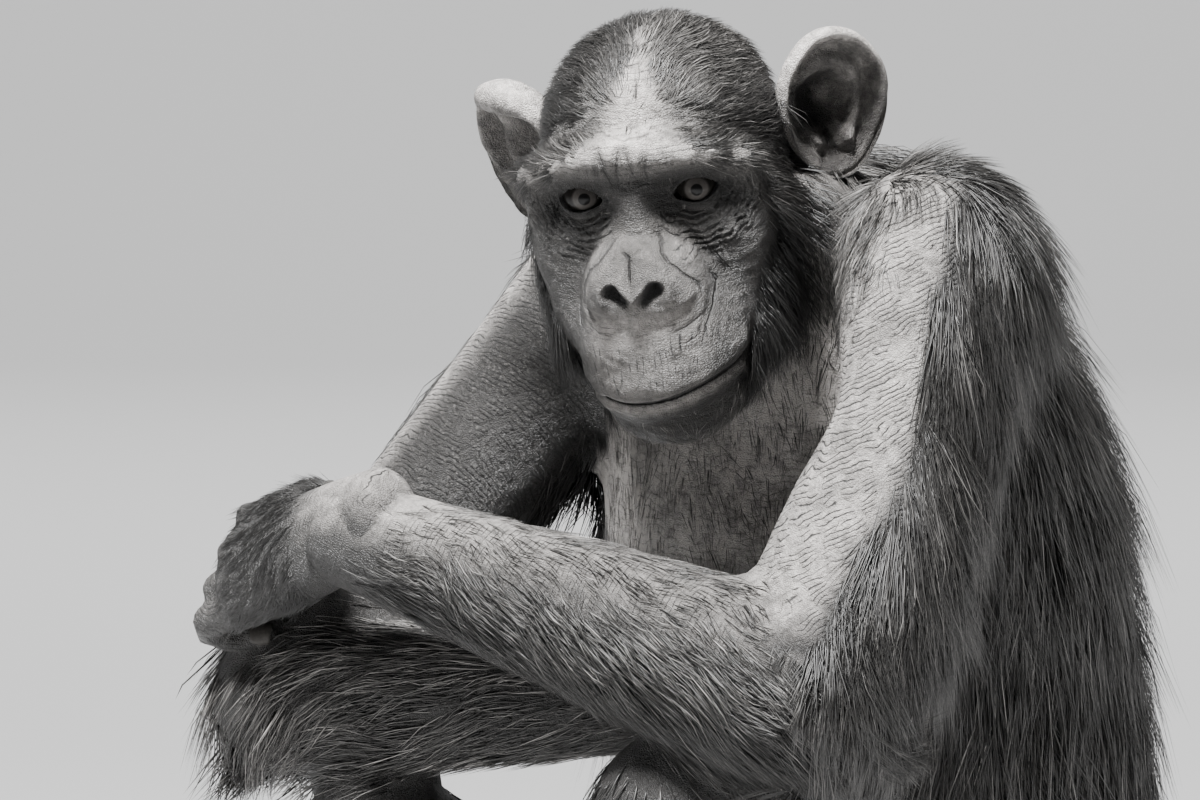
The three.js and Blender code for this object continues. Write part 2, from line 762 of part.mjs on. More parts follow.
const rightForearm = new Stretch({
  facing: [0, -0.4, 0.9],
  rings: 7,
  dome: [0.9, 0.5],
  knots: [
    knot(joint.rightElbow, joint.rightWrist, 0, [40, 36, 38]),
    knot(joint.rightElbow, joint.rightWrist, 0.22, [40, 37, 39]),
    knot(joint.rightElbow, joint.rightWrist, 0.5, [36, 34, 35]),
    knot(joint.rightElbow, joint.rightWrist, 0.78, [30, 28, 30]),
    knot(joint.rightElbow, joint.rightWrist, 1, [28, 24, 25]),
  ],
  coat: hangingCoat({ thin: 4, deep: 13, towards: [-0.8, -0.3, -0.7], peak: 0, spread: 0.8 }),
  tufts: [
    { places: [0.72, 0.05], angles: [190, 365], rows: 2, perRow: 4, run: -0.5, width: 34, seed: 61 },
    {
      root: [-132, -250, 356],
      towards: [-0.55, -0.62, -0.55],
      spread: [0.6, -0.75, 0.1],
      length: 72,
      width: 32,
      count: 3,
      seed: 62,
    },
  ],
});

// Legs, folded: the thigh rises to the knee and the shank comes down to the flat foot
function thigh(hip, knee, seed) {
  return new Stretch({
    facing: [0, -0.7, 0.7],
    rings: 6,
    dome: [0.8, 0.9],
    knots: [
      knot(hip, knee, 0, [72, 66, 70]),
      knot(hip, knee, 0.3, [70, 60, 68]),
      knot(hip, knee, 0.65, [56, 50, 58]),
      knot(hip, knee, 1, [42, 40, 42]),
    ],
    coat: (place, outward) => 6 + 11 * smoothStep(-outward.z, -0.3, 0.8) * (1 - 0.7 * place),
    tufts: [
      { places: [0.85, 0.45], angles: [220, 320], rows: 2, perRow: 2, run: -0.36, width: 44, seed },
    ],
  });
}

function shank(knee, ankle, seed) {
  return new Stretch({
    facing: [0, -1, 0],
    rings: 6,
    dome: [0.9, 0.5],
    knots: [
      knot(knee, ankle, 0, [41, 36, 40]),
      knot(knee, ankle, 0.25, [42, 34, 46], [0, 4, 0]),
      knot(knee, ankle, 0.6, [36, 30, 38], [0, 3, 0]),
      knot(knee, ankle, 1, [27, 26, 30]),
    ],
    coat: (place, outward) => 5 + 9 * smoothStep(outward.y, -0.2, 0.8) * (1 - 0.6 * place),
    tufts: [
      { places: [0.15, 0.5], angles: [225, 315], rows: 2, perRow: 2, run: 0.45, width: 36, seed },
    ],
  });
}

const legs = {
  leftThigh: thigh(joint.leftHip, joint.leftKnee, 71),
  leftShank: shank(joint.leftKnee, joint.leftAnkle, 72),
  rightThigh: thigh(joint.rightHip, joint.rightKnee, 73),
  rightShank: shank(joint.rightKnee, joint.rightAnkle, 74),
};

// A finger or toe bends through its knuckles to a round tip
function digit(points, radius, tipRadius) {
  const last = points.length - 1;
  return new Stretch({
    facing: [0.05, 0.1, 1],
    sides: 6,
    rings: last,
    dome: [0.3, 0.9],
    domeRings: 2,
    knots: points.map((p, i) => {
      const r = between(radius, tipRadius, i / last);
      return [...p, r, r, r];
    }),
  });
}

// Hands: the palm from the wrist to the knuckles, four fingers that bend over what the hand holds,
// and a short thumb
const fingerLengths = [0.92, 1, 0.96, 0.8];
const fingerSpan = 80;
const fingerRadius = 10;

function hand({ wrist, knuckles, across, curl, thumb, spread, slant }) {
  const start = vector(wrist);
  const end = vector(knuckles);
  const reach = end.clone().sub(start).normalize();
  const side = vector(across).addScaledVector(reach, -reach.dot(vector(across))).normalize();
  const back = new THREE.Vector3().crossVectors(side, reach);
  const up = back.z < 0 ? back.negate() : back;
  const knotAt = (share, half, thick) => [
    ...start.clone().lerp(end, share).addScaledVector(side, 0.3 * slant * share).toArray(),
    half - 0.2 * slant * share,
    thick,
    thick,
  ];
  const palm = new Stretch({
    facing: up.toArray(),
    sides: 12,
    rings: 4,
    dome: [0.6, 0.35],
    domeRings: 2,
    knots: [knotAt(0, 27, 20), knotAt(0.4, 32, 19), knotAt(1, 35, 14)],
    coat: (place, outward) => 5 * smoothStep(outward.dot(up), -0.1, 0.7) * (1 - 0.6 * place),
  });
  const digits = fingerLengths.map((share, i) => {
    const offset = (i - 1.5) / 1.5;
    const setBack = slant * (1 - i / (fingerLengths.length - 1));
    const base = end
      .clone()
      .addScaledVector(side, offset * 25)
      .addScaledVector(reach, -setBack);
    const bones = [0.42, 0.34, 0.24].map((part) => part * share * fingerSpan);
    const points = [base.clone().addScaledVector(reach, -14), base];
    let angle = 0;
    bones.forEach((length, bone) => {
      angle += THREE.MathUtils.degToRad(curl[bone]);
      const way = reach
        .clone()
        .multiplyScalar(Math.cos(angle))
        .addScaledVector(up, -Math.sin(angle))
        .addScaledVector(side, offset * spread);
      points.push(points.at(-1).clone().addScaledVector(way, length));
    });
    return digit(
      points.map((p) => p.toArray()),
      fingerRadius,
      fingerRadius - 2.5,
    );
  });
  const thumbBase = start
    .clone()
    .lerp(end, 0.3)
    .addScaledVector(side, thumb * 26)
    .addScaledVector(up, -8);
  const thumbWay = reach
    .clone()
    .addScaledVector(side, thumb * 0.5)
    .addScaledVector(up, -0.45)
    .normalize();
  const thumbPoints = [0, 30, 52].map((d) => thumbBase.clone().addScaledVector(thumbWay, d).toArray());
  return [palm, ...digits, digit(thumbPoints, 10, 8)];
}

const leftHand = hand({
  wrist: joint.leftWrist,
  knuckles: joint.leftKnuckles,
  across: [0.42, -0.36, -0.83],
  curl: [6, 98, 60],
  thumb: -1,
  spread: 0.05,
  slant: 26,
});
const rightHand = hand({
  wrist: joint.rightWrist,
  knuckles: joint.rightKnuckles,
  across: [0.2, -0.9, 0.25],
  curl: [34, 40, 30],
  thumb: 1,
  spread: 0.04,
  slant: 0,
});

// Feet: flat soles with a broad forefoot, four toes and a big toe that stands off to the inside
const soleLength = 150;
const toeSpan = 52;

function foot(ankle, inside) {
  const [x, y] = ankle;
  const heel = y + 34;
  const sole = new Stretch({
    facing: [0, 0, 1],
    sides: 12,
    rings: 5,
    dome: [0.7, 0.4],
    domeRings: 2,
    knots: [
      [x, heel - 16, 24, 26, 34, 30],
      [x, heel - 62, 22, 30, 30, 28],
      [x - inside * 4, heel - 110, 17, 36, 18, 22],
      [x - inside * 5, heel - soleLength, 13, 37, 13, 18],
    ],
    coat: (place, outward) => 4 * smoothStep(outward.z, 0, 0.8) * (1 - 0.7 * place),
  });
  const toes = [-1, -0.33, 0.33, 1].map((offset) => {
    const base = [x - inside * 5 + offset * 27, heel - soleLength + 12, 12];
    const length = toeSpan * (1 - 0.1 * Math.abs(offset)) - 3 * offset * inside;
    const lean = offset * 0.12;
    return digit(
      [
        base,
        [base[0] + lean * 24, base[1] - 0.5 * length, 14],
        [base[0] + lean * 44, base[1] - length - 10, 8],
      ],
      11,
      9,
    );
  });
  const bigToe = digit(
    [
      [x + inside * 14, heel - 78, 15],
      [x + inside * 40, heel - 104, 13],
      [x + inside * 52, heel - 138, 10],
    ],
    14,
    11,
  );
  return [sole, ...toes, bigToe];
}

const leftFoot = foot(joint.leftAnkle, -1);
const rightFoot = foot(joint.rightAnkle, 1);

// Every part of the body, in the order in which a later one makes room for those before it
const coatShare = 0.5;
const ofStretches = (stretches) => (grow) =>
  joined(stretches.map((stretch) => stretch.solid(grow, coatShare)));
const parts = [
  { name: "torso", solid: ofStretches([torso]), colour: coatColour },
  { name: "neck", solid: ofStretches([neck]), colour: coatColour },
  {
    name: "head",
    solid: (grow) => (grow ? headSolid(grow, coatShare) : openedHead(coatShare)),
    colour: skinColour,
  },
  { name: "left_eye", solid: () => eyeSolid(1), colour: eyeColour, inSocket: true },
  { name: "right_eye", solid: () => eyeSolid(-1), colour: eyeColour, inSocket: true },
  { name: "left_ear", solid: (grow) => earSolid(1, grow), colour: skinColour },
  { name: "right_ear", solid: (grow) => earSolid(-1, grow), colour: skinColour },
  { name: "left_thigh", solid: ofStretches([legs.leftThigh]), colour: coatColour },
  { name: "right_thigh", solid: ofStretches([legs.rightThigh]), colour: coatColour },
  { name: "left_shank", solid: ofStretches([legs.leftShank]), colour: coatColour },
  { name: "right_shank", solid: ofStretches([legs.rightShank]), colour: coatColour },
  { name: "left_foot", solid: ofStretches(leftFoot), colour: skinColour },
  { name: "right_foot", solid: ofStretches(rightFoot), colour: skinColour },
  { name: "right_upper_arm", solid: ofStretches([rightUpperArm]), colour: coatColour },
  { name: "right_forearm", solid: ofStretches([rightForearm]), colour: coatColour },
  { name: "left_upper_arm", solid: ofStretches([leftUpperArm]), colour: coatColour },
  { name: "left_forearm", solid: ofStretches([leftForearm]), colour: coatColour },
  { name: "left_hand", solid: ofStretches(leftHand), colour: skinColour },
  { name: "right_hand", solid: ofStretches(rightHand), colour: skinColour },
];

function touching(a, b) {
  const one = a.boundingBox();
  const other = b.boundingBox();
  return [0, 1, 2].every((axis) => one.min[axis] < other.max[axis] && other.min[axis] < one.max[axis]);
}

function largest(solid) {
  return solid.decompose().reduce((best, piece) => (piece.volume() > best.volume() ? piece : best));
}

function meshOf(name, solid, colour) {
  const { vertProperties, triVerts } = solid.getMesh();
  const geometry = new THREE.BufferGeometry();
  geometry.setAttribute("position", new THREE.BufferAttribute(vertProperties, 3));
  geometry.setIndex(new THREE.BufferAttribute(triVerts, 1));
  geometry.computeVertexNormals();
  const material = new THREE.MeshStandardMaterial({ color: colour, roughness: 0.75, metalness: 0 });
  const mesh = new THREE.Mesh(geometry, material);
  mesh.name = name;
  return mesh;
}

const chimpanzee = new THREE.Group();
const placed = [];
for (const { name, solid, colour, inSocket } of parts) {
  let body = aboveFloor(solid(0));
  if (!inSocket) {
    for (const grown of placed) {
      if (touching(body, grown)) body = body.subtract(grown);
    }
    body = largest(body);
    placed.push(joined([solid(gap), body]));
  }
  chimpanzee.add(meshOf(name, body, colour));
}

export default chimpanzee;
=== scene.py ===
import json
import math

import bpy
import numpy as np
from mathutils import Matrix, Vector
from mathutils.kdtree import KDTree

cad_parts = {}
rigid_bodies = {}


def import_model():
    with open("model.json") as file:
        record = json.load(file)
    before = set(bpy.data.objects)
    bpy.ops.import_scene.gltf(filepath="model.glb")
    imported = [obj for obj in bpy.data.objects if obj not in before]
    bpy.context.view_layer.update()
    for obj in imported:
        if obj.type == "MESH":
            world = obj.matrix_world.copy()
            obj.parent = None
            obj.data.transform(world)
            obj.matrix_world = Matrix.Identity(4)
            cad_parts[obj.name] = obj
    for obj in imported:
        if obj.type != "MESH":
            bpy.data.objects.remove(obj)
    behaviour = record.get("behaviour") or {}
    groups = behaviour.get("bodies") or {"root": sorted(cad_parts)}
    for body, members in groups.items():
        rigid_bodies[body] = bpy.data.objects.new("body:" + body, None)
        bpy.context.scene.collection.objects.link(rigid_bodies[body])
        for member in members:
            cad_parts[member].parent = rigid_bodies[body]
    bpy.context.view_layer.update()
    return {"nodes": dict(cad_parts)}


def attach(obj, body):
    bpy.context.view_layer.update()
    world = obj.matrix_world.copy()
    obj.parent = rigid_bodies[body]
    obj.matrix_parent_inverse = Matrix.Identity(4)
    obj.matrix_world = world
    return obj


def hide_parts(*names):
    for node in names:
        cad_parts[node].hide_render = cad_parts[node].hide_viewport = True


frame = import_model()


# Trunk, neck and limbs
# The body of a chimpanzee that sits with its arms folded over its raised knees. Each stretch of
# flesh runs from joint to joint, and all are grown together into one body before the skin goes on.
joints = {
    "left shoulder": (151, -65, 590),
    "left elbow": (199, -181, 384),
    "left wrist": (-56, -276, 453),
    "left knuckles": (-128, -287, 432),
    "right shoulder": (-124, -52, 556),
    "right elbow": (-136, -255, 363),
    "right wrist": (64, -140, 371),
    "right knuckles": (128, -122, 366),
    "left hip": (76, -12, 96),
    "left knee": (112, -206, 322),
    "left ankle": (114, -286, 62),
    "right hip": (-70, -12, 96),
    "right knee": (-92, -228, 292),
    "right ankle": (-100, -306, 62),
}
joints = {name: np.array(place, float) for name, place in joints.items()}


def unit(v):
    v = np.asarray(v, float)
    return v / np.maximum(np.linalg.norm(v, axis=-1, keepdims=True), 1e-9)


def dots(a, b):
    """The dot products of two lists of vectors, row by row."""
    return (a * b).sum(-1)


def along_knots(knots, at):
    """The smooth curve through the knots, at any place between them."""
    last = len(knots) - 1
    start = np.clip(np.floor(at), 0, last - 1).astype(int)
    f = np.clip(at - start, 0, 1)[:, None]
    a, b, c, d = (knots[np.clip(start + i, 0, last)] for i in (-1, 0, 1, 2))
    return b + 0.5 * ((c - a) * f + (2 * a - 5 * b + 4 * c - d) * f**2 + (3 * b - 3 * c + d - a) * f**3)


class Stretch:
    """Flesh round a bent line of knots: x, y, z, half width, front and back, in millimetres."""

    def __init__(self, knots, facing, dome=(1, 1)):
        self.knots = np.array(knots, float)
        self.facing = np.array(facing, float)
        self.dome = dome

    def section(self, place):
        last = len(self.knots) - 1
        at = np.clip(place, 0, 1) * last
        row = along_knots(self.knots, at)
        step = 0.02 * last
        ahead = along_knots(self.knots, np.minimum(last, at + step))[:, :3]
        behind = along_knots(self.knots, np.maximum(0, at - step))[:, :3]
        line = unit(ahead - behind)
        front = unit(self.facing - line * dots(line, self.facing)[:, None])
        return row[:, :3], line, front, np.cross(line, front), row[:, 3:]

    def surface(self, place, angle, height=0.0):
        middle, line, front, side, radii = self.section(place)
        beyond = np.where(place < 0, -place, np.maximum(0, place - 1))
        lean = np.minimum(1, beyond) * 0.5 * np.pi
        depth = np.where(np.sin(angle) > 0, radii[:, 1], radii[:, 2])
        spread = np.cos(lean)
        rise = np.sin(lean) * (radii[:, 0] * np.where(place < 0, self.dome[0], self.dome[1]) + height)
        across = np.cos(angle) * (radii[:, 0] + height) * spread
        forth = np.sin(angle) * (depth + height) * spread
        rise = np.where(place < 0, -rise, np.where(place > 1, rise, 0))
        return middle + side * across[:, None] + front * forth[:, None] + line * rise[:, None]


def knot(start, end, share, radii, shift=(0, 0, 0)):
    return [*(joints[start] + (joints[end] - joints[start]) * share + np.array(shift)), *radii]


def limb(start, end, rows, facing, dome):
    return Stretch([knot(start, end, *row) for row in rows], facing, dome)


def arm_rows(*radii):
    return list(zip((0, 0.22, 0.5, 0.78, 1), radii))


torso_knots = [
    [2, 22, 34, 112, 92, 96],
    [2, 24, 110, 132, 104, 112],
    [2, 28, 200, 136, 114, 120],
    [1, 28, 290, 135, 118, 122],
    [-1, 18, 380, 134, 118, 120],
    [3, -2, 470, 134, 112, 116],
    [12, -28, 542, 122, 88, 96],
    [17, -54, 590, 82, 60, 72],
]
upper_arm_rows = [(0, (50, 42, 50), (0, 2, 0)), (0.2, (49, 43, 38)), (0.4, (45, 43, 30), (0, 4, 0))]
upper_arm_rows += [(0.6, (43, 42, 45), (0, 4, 0)), (0.8, (44, 42, 52), (0, 3, 0)), (1, (44, 38, 43))]
shank_rows = [(0, (41, 36, 40)), (0.25, (42, 34, 46), (0, 4, 0))]
shank_rows += [(0.6, (36, 30, 38), (0, 3, 0)), (1, (27, 26, 30))]
neck_knots = [[18, -50, 566, 84, 66, 64], [29, -80, 590, 70, 62, 58], [36, -104, 604, 60, 56, 52]]
stretches = {
    "torso": Stretch(torso_knots, (0, -1, 0), (0.42, 0.5)),
    "neck": Stretch(neck_knots, (0.3, -1, 0), (0.4, 0.4)),
    "left upper arm": limb(
        "left shoulder",
        "left elbow",
        upper_arm_rows,
        (0.9, 0.45, 0),
        (1, 0.9),
    ),
    "left forearm": limb(
        "left elbow",
        "left wrist",
        arm_rows((41, 38, 42), (41, 39, 42), (37, 35, 37), (31, 29, 31), (30, 26, 27)),
        (0, -0.5, 0.86),
        (0.9, 0.5),
    ),
    "right upper arm": limb(
        "right shoulder",
        "right elbow",
        arm_rows((50, 42, 54), (46, 40, 48), (42, 38, 38), (40, 38, 36), (38, 36, 36)),
        (-0.9, 0.2, 0.3),
        (1, 0.9),
    ),
    "right forearm": limb(
        "right elbow",
        "right wrist",
        arm_rows((40, 36, 38), (40, 37, 39), (36, 34, 35), (30, 28, 30), (28, 24, 25)),
        (0, -0.4, 0.9),
        (0.9, 0.5),
    ),
}
for side in ("left", "right"):
    stretches[side + " thigh"] = limb(
        side + " hip",
        side + " knee",
        [(0, (72, 66, 70)), (0.3, (70, 60, 68)), (0.65, (56, 50, 58)), (1, (42, 40, 42))],
        (0, -0.7, 0.7),
        (0.8, 0.9),
    )
    stretches[side + " shank"] = limb(
        side + " knee",
        side + " ankle",
        shank_rows,
        (0, -1, 0),
        (0.9, 0.5),
    )


def in_scene(name, data):
    made = bpy.data.objects.new(name, data)
    bpy.context.scene.collection.objects.link(made)
    return made


def new_piece(name, points, faces):
    mesh = bpy.data.meshes.new(name)
    mesh.from_pydata((np.asarray(points) * 0.001).tolist(), [], faces)
    mesh.update()
    return in_scene(name, mesh)


def ringed_faces(rings, around):
    """Faces of a closed form of rings, whose last two points are its ends."""
    faces = []
    for ring in range(rings - 1):
        for i in range(around):
            a, b = ring * around + i, ring * around + (i + 1) % around
            faces.append((a, b, b + around, a + around))
    first, last = rings * around, rings * around + 1
    base = (rings - 1) * around
    for i in range(around):
        faces.append((first, (i + 1) % around, i))
        faces.append((last, base + i, base + (i + 1) % around))
    return faces


def ring_grid(places, around):
    place, angle = np.meshgrid(places, np.arange(around) / around * 2 * np.pi, indexing="ij")
    return place.ravel(), angle.ravel()


def loft(name, stretch, rings, around):
    domes = np.array([0.12, 0.3, 0.5, 0.68, 0.84, 0.95])
    places = np.concatenate([-domes[::-1], np.linspace(0, 1, rings), 1 + domes])
    points = stretch.surface(*ring_grid(places, around))
    poles = stretch.surface(np.array([-1.0, 2.0]), np.zeros(2))
    return new_piece(name, np.vstack([points, poles]), ringed_faces(len(places), around))


def select_only(*pieces):
    for other in bpy.context.view_layer.objects:
        other.select_set(False)
    for piece in pieces:
        piece.select_set(True)
    bpy.context.view_layer.objects.active = pieces[-1]


def joined(name, pieces):
    select_only(*pieces)
    bpy.ops.object.join()
    whole = bpy.context.view_layer.objects.active
    whole.name = name
    return whole


def faces_out(piece):
    select_only(piece)
    bpy.ops.object.mode_set(mode="EDIT")
    bpy.ops.mesh.select_all(action="SELECT")
    bpy.ops.mesh.normals_make_consistent(inside=False)
    bpy.ops.object.mode_set(mode="OBJECT")


def reshape_by(piece, kind, **settings):
    """Adds a modifier with those settings and applies it."""
    modifier = piece.modifiers.new(kind.lower(), kind)
    for name, value in settings.items():
        setattr(modifier, name, value)
    bpy.ops.object.modifier_apply(modifier=modifier.name)


def grown_together(name, pieces, voxel, smoothing):
    """Joins pieces that pass into one another into one closed skin."""
    whole = joined(name, pieces)
    faces_out(whole)
    reshape_by(whole, "REMESH", mode="VOXEL", voxel_size=voxel)
    reshape_by(whole, "SMOOTH", factor=0.5, iterations=smoothing)
    return whole


body_voxel = 0.007
limbs_and_trunk = [loft(name, stretch, 24, 36) for name, stretch in stretches.items()]
body = grown_together("body", limbs_and_trunk, body_voxel, 5)


# Hands and feet
# Four long fingers curl over the other arm, with thick knuckles and a short thumb; the soles are
# flat on the ground, with a broad forefoot and a big toe that stands off to the inside.
def digit(points, radius, tip_radius):
    """A finger or toe: thickest at its knuckles, with a round tip."""
    points = [np.array(p, float) for p in points]
    rows = []
    last = len(points) - 1
    for i, p in enumerate(points):
        r = radius + (tip_radius - radius) * i / last
        rows.append([*p, r * 1.04, r * 1.06, r])
        if i < last:
            q = 0.5 * (p + points[i + 1])
            r = r + 0.5 * (tip_radius - radius) / last
            rows.append([*q, r * 0.93, r * 0.9, r * 1.02])
    return Stretch(rows, (0.05, 0.1, 1), (0.3, 0.9))


finger_lengths = (0.92, 1, 0.96, 0.8)
finger_tips = []


def hand(which, across, curl, thumb, spread, slant):
    start, end = joints[which + " wrist"], joints[which + " knuckles"]
    reach = unit(end - start)
    side = unit(np.array(across) - reach * dots(reach, np.array(across)))
    up = np.cross(side, reach)
    if up[2] < 0:
        up = -up
    palm = []
    for share, half, thick in ((-0.35, 27, 22), (0, 28, 20), (0.4, 32, 19), (1, 35, 14)):
        lowered = max(0, share) * slant
        middle = start + (end - start) * share + side * 0.3 * lowered
        palm.append([*middle, half - 0.2 * lowered, thick, thick])
    pieces = [Stretch(palm, up, (0.5, 0.35))]
    for i, share in enumerate(finger_lengths):
        offset = (i - 1.5) / 1.5
        base = end + side * offset * 25 - reach * slant * (1 - i / 3)
        points = [base - reach * 14, base]
        angle = 0.0
        for turn, bone in zip(curl, (0.42, 0.34, 0.24)):
            angle += math.radians(turn)
            way = reach * math.cos(angle) - up * math.sin(angle) + side * offset * spread
            points.append(points[-1] + way * bone * share * 80)
        last_bone = points[-1] - points[-2]
        finger_tips.append((points[-1], last_bone, np.cross(side, last_bone), 7.6))
        pieces.append(digit(points, 10, 7.5))
    base = start + (end - start) * 0.3 + side * thumb * 26 - up * 8
    way = unit(reach + side * thumb * 0.5 - up * 0.45)
    pieces.append(digit([base + way * d for d in (0, 30, 52)], 10, 8))
    finger_tips.append((base + way * 52, way, np.cross(side, way), 8))
    return pieces


def foot(ankle, inside):
    x, y, _ = joints[ankle]
    heel = y + 34
    sole = [
        [x, heel - 16, 24, 26, 34, 30],
        [x, heel - 62, 22, 30, 30, 28],
        [x - inside * 4, heel - 110, 17, 36, 18, 22],
        [x - inside * 5, heel - 150, 13, 37, 13, 18],
    ]
    pieces = [Stretch(sole, (0, 0, 1), (0.7, 0.4))]
    for offset in (-1, -0.33, 0.33, 1):
        base = np.array([x - inside * 5 + offset * 27, heel - 138, 12])
        length = 52 * (1 - 0.1 * abs(offset)) - 3 * offset * inside
        lean = offset * 0.12
        tip = base + [lean * 44, -length - 10, -4]
        pieces.append(digit([base, base + [lean * 24, -0.5 * length, 2], tip], 11, 9))
        finger_tips.append((tip, np.array([lean, -1, -0.1]), np.array([0, 0, 1.0]), 8.6))
    bones = ((14, 78, 15), (40, 104, 13), (52, 138, 10))
    big = [[x + inside * out, heel - ahead, z] for out, ahead, z in bones]
    pieces.append(digit(big, 14, 11))
    way = np.array([0.35 * inside, -0.94, 0])
    finger_tips.append((np.array(big[2]), way, np.array([0, 0, 1.0]), 10.5))
    return pieces


extremities = {
    "left hand": hand(
        "left", across=(0.42, -0.36, -0.83), curl=(6, 98, 60), thumb=-1, spread=0.05, slant=26
    ),
    "right hand": hand(
        "right", across=(0.2, -0.9, 0.25), curl=(34, 40, 30), thumb=1, spread=0.04, slant=0
    ),
    "left foot": foot("left ankle", -1),
    "right foot": foot("right ankle", 1),
}
hand_voxel, foot_voxel = 0.0029, 0.0044
hands_and_feet = []
for name, pieces in extremities.items():
    lofts = [loft(name + str(i), piece, 14, 20) for i, piece in enumerate(pieces)]
    voxel = hand_voxel if "hand" in name else foot_voxel
    hands_and_feet.append(grown_together(name, lofts, voxel, 3))


# Head
# One smooth form blended from the masses of the skull and its flesh, with the brow ridge and the
# lips as rounded bars; lids, nostrils, the mouth and the folds of the face are drawn into it.
face_turn, face_nod, face_tilt = math.radians(38), math.radians(20), math.radians(-5.5)
eye_middle = np.array([72, -192, 621.0])


def turned(axis, angle):
    c, s = math.cos(angle), math.sin(angle)
    rows = {
        "x": [[1, 0, 0], [0, c, -s], [0, s, c]],
        "y": [[c, 0, s], [0, 1, 0], [-s, 0, c]],
        "z": [[c, -s, 0], [s, c, 0], [0, 0, 1]],
    }
    return np.array(rows[axis])


face_axes = turned("z", face_turn) @ turned("x", face_nod) @ turned("y", face_tilt)


def out_of_face(p):
    """From the face's own axes, across, back and up from between the eyes, to the whole model's."""
    return p @ face_axes.T + eye_middle


def into_face(p):
    return (p - eye_middle) @ face_axes


head_masses = {
    "skull": ((0, 58, 12), (57, 72, 56)),
    "cheeks and nose": ((0, 24, -20), (55, 41, 42)),
    "muzzle": ((4, -12, -65), (43, 47, 34)),
    "chin": ((5, -8, -97), (36, 42, 27)),
    "back of the jaw": ((1, 44, -52), (49, 46, 46)),
    "left cheekbone": ((44, 14, -24), (17, 24, 20)),
    "right cheekbone": ((-43, 14, -24), (17, 22, 20)),
    "left jaw": ((36, 14, -54), (19, 28, 30)),
    "right jaw": ((-36, 12, -54), (19, 28, 30)),
    "bridge of the nose": ((0, -10, -14), (12, 12, 24)),
    "plate of the nose": ((1, -24, -32), (28, 19, 16)),
    "tip of the nose": ((2, -37, -26), (12, 11, 9)),
    "left wing of the nose": ((14, -38, -28), (9, 9, 7)),
    "right wing of the nose": ((-10, -38, -28), (9, 9, 7)),
    "nape": ((0, 78, -42), (46, 56, 44)),
    "upper lip": ((2, -29, -43), (26, 20, 13)),
}
eye_radius = 10.3
socket_size = np.array([19, 15, 12])
eye_places = {"left": np.array([29.5, 0, 3.5]), "right": np.array([-27.5, 0, 3.5])}


def brow_line(share):
    x = 52 * (2 * share - 1)
    return np.stack([x, -12 + 0.0078 * x * x, 27.5 - 0.0056 * x * x], -1)


def brow_height(x):
    """How high the brow ridge runs over each place across the face."""
    return brow_line(np.clip(x / 104 + 0.5, 0, 1))[:, 2]


def orbit_rim(share, side):
    """The outer edge of the eye socket, from the end of the brow down to the cheekbone."""
    x = side * (51 + 3 * np.sin(np.pi * share))
    return np.stack([x, 9 + 4 * share, 9 - 34 * share], -1)


def mouth_height(x):
    return -87.5 + 0.1 * x + 0.0023 * x * x


def mouth_front(x):
    return -56 + 0.019 * (x - 6) ** 2


def lip_line(rise, back):
    """A line along the mouth, that far over it and behind the front of the lips."""
    def line(share):
        x = -32 + 76 * share
        return np.stack([x, mouth_front(x) + back, mouth_height(x) + rise], -1)

    return line


face_bars = [
    (brow_line, lambda share: 11.4 - 1.5 * np.abs(2 * share - 1) ** 3, 7),
    (lip_line(9, 3), lambda share: 8.5 - 20 * (share - 0.5) ** 2, 8),
    (lip_line(-5.5, 4), lambda share: 5 - 13 * (share - 0.5) ** 2, 5),
]


def smooth_least(a, b, blend):
    """The smaller of two distances, rounded where they meet, as flesh is over bone."""
    h = np.maximum(0, blend - np.abs(a - b)) / blend
    return np.minimum(a, b) - 0.25 * blend * h * h


def mass_distance(p, at, size):
    q = (p - at) / size
    k = np.linalg.norm(q, axis=-1)
    return k * (k - 1) / np.maximum(np.linalg.norm(q / size, axis=-1), 1e-6)


def share_between(p, a, b):
    """How far along the way from a to b a place lies: 0 at a and 1 at b."""
    return (p - a) @ (b - a) / ((b - a) @ (b - a))


def off_line(p, a, b):
    """The way from the nearest place between a and b, and how far along that place is."""
    a, b = np.array(a, float), np.array(b, float)
    f = np.clip(share_between(p, a, b), 0, 1)
    return p - a - f[:, None] * (b - a), f


def bar_distance(p, line, radius):
    steps = np.linspace(0, 1, 17)
    ends = line(steps)
    nearest = np.full(len(p), 1e9)
    for i in range(16):
        offset, f = off_line(p, ends[i], ends[i + 1])
        reach = np.linalg.norm(offset, axis=-1)
        nearest = np.minimum(nearest, reach - radius(steps[i] + f / 16))
    return nearest


def head_distance(p):
    """How far places lie from the smooth head, before the folds are drawn into it."""
    distance = np.full(len(p), 1e9)
    for at, size in head_masses.values():
        distance = smooth_least(distance, mass_distance(p, np.array(at), np.array(size)), 16)
    line, radius, blend = face_bars[0]
    distance = smooth_least(distance, bar_distance(p, line, radius), blend)
    for side in (-1, 1):
        rim = bar_distance(p, lambda share: orbit_rim(share, side), lambda share: 7.5 - 2.5 * share)
        distance = smooth_least(distance, rim, 8)
    for socket_place in ([-28, -22, 2], [30, -22, 2]):
        socket = mass_distance(p, np.array(socket_place), socket_size)
        distance = -smooth_least(-distance, socket, 8)
    for line, radius, blend in face_bars[1:]:
        distance = smooth_least(distance, bar_distance(p, line, radius), blend)
    return distance


def waves(p, size, seed):
    """Soft lumps of about that size, between -1 and 1, the same on every run."""
    draw = np.random.default_rng(seed)
    total = np.zeros(len(p))
    for _ in range(7):
        way = unit(draw.normal(size=3)) * draw.uniform(0.6, 1.5)
        total += np.sin(p @ way * (2 * np.pi / size) + draw.uniform(0, 6.28))
    return total / 3.5


def smooth_step(value, low, high):
    """0 below the low value, 1 above the high one, and a soft step between them."""
    share = np.clip((value - low) / (high - low), 0, 1)
    return share * share * (3 - 2 * share)


def falling(value, low, high):
    return 1 - smooth_step(value, low, high)


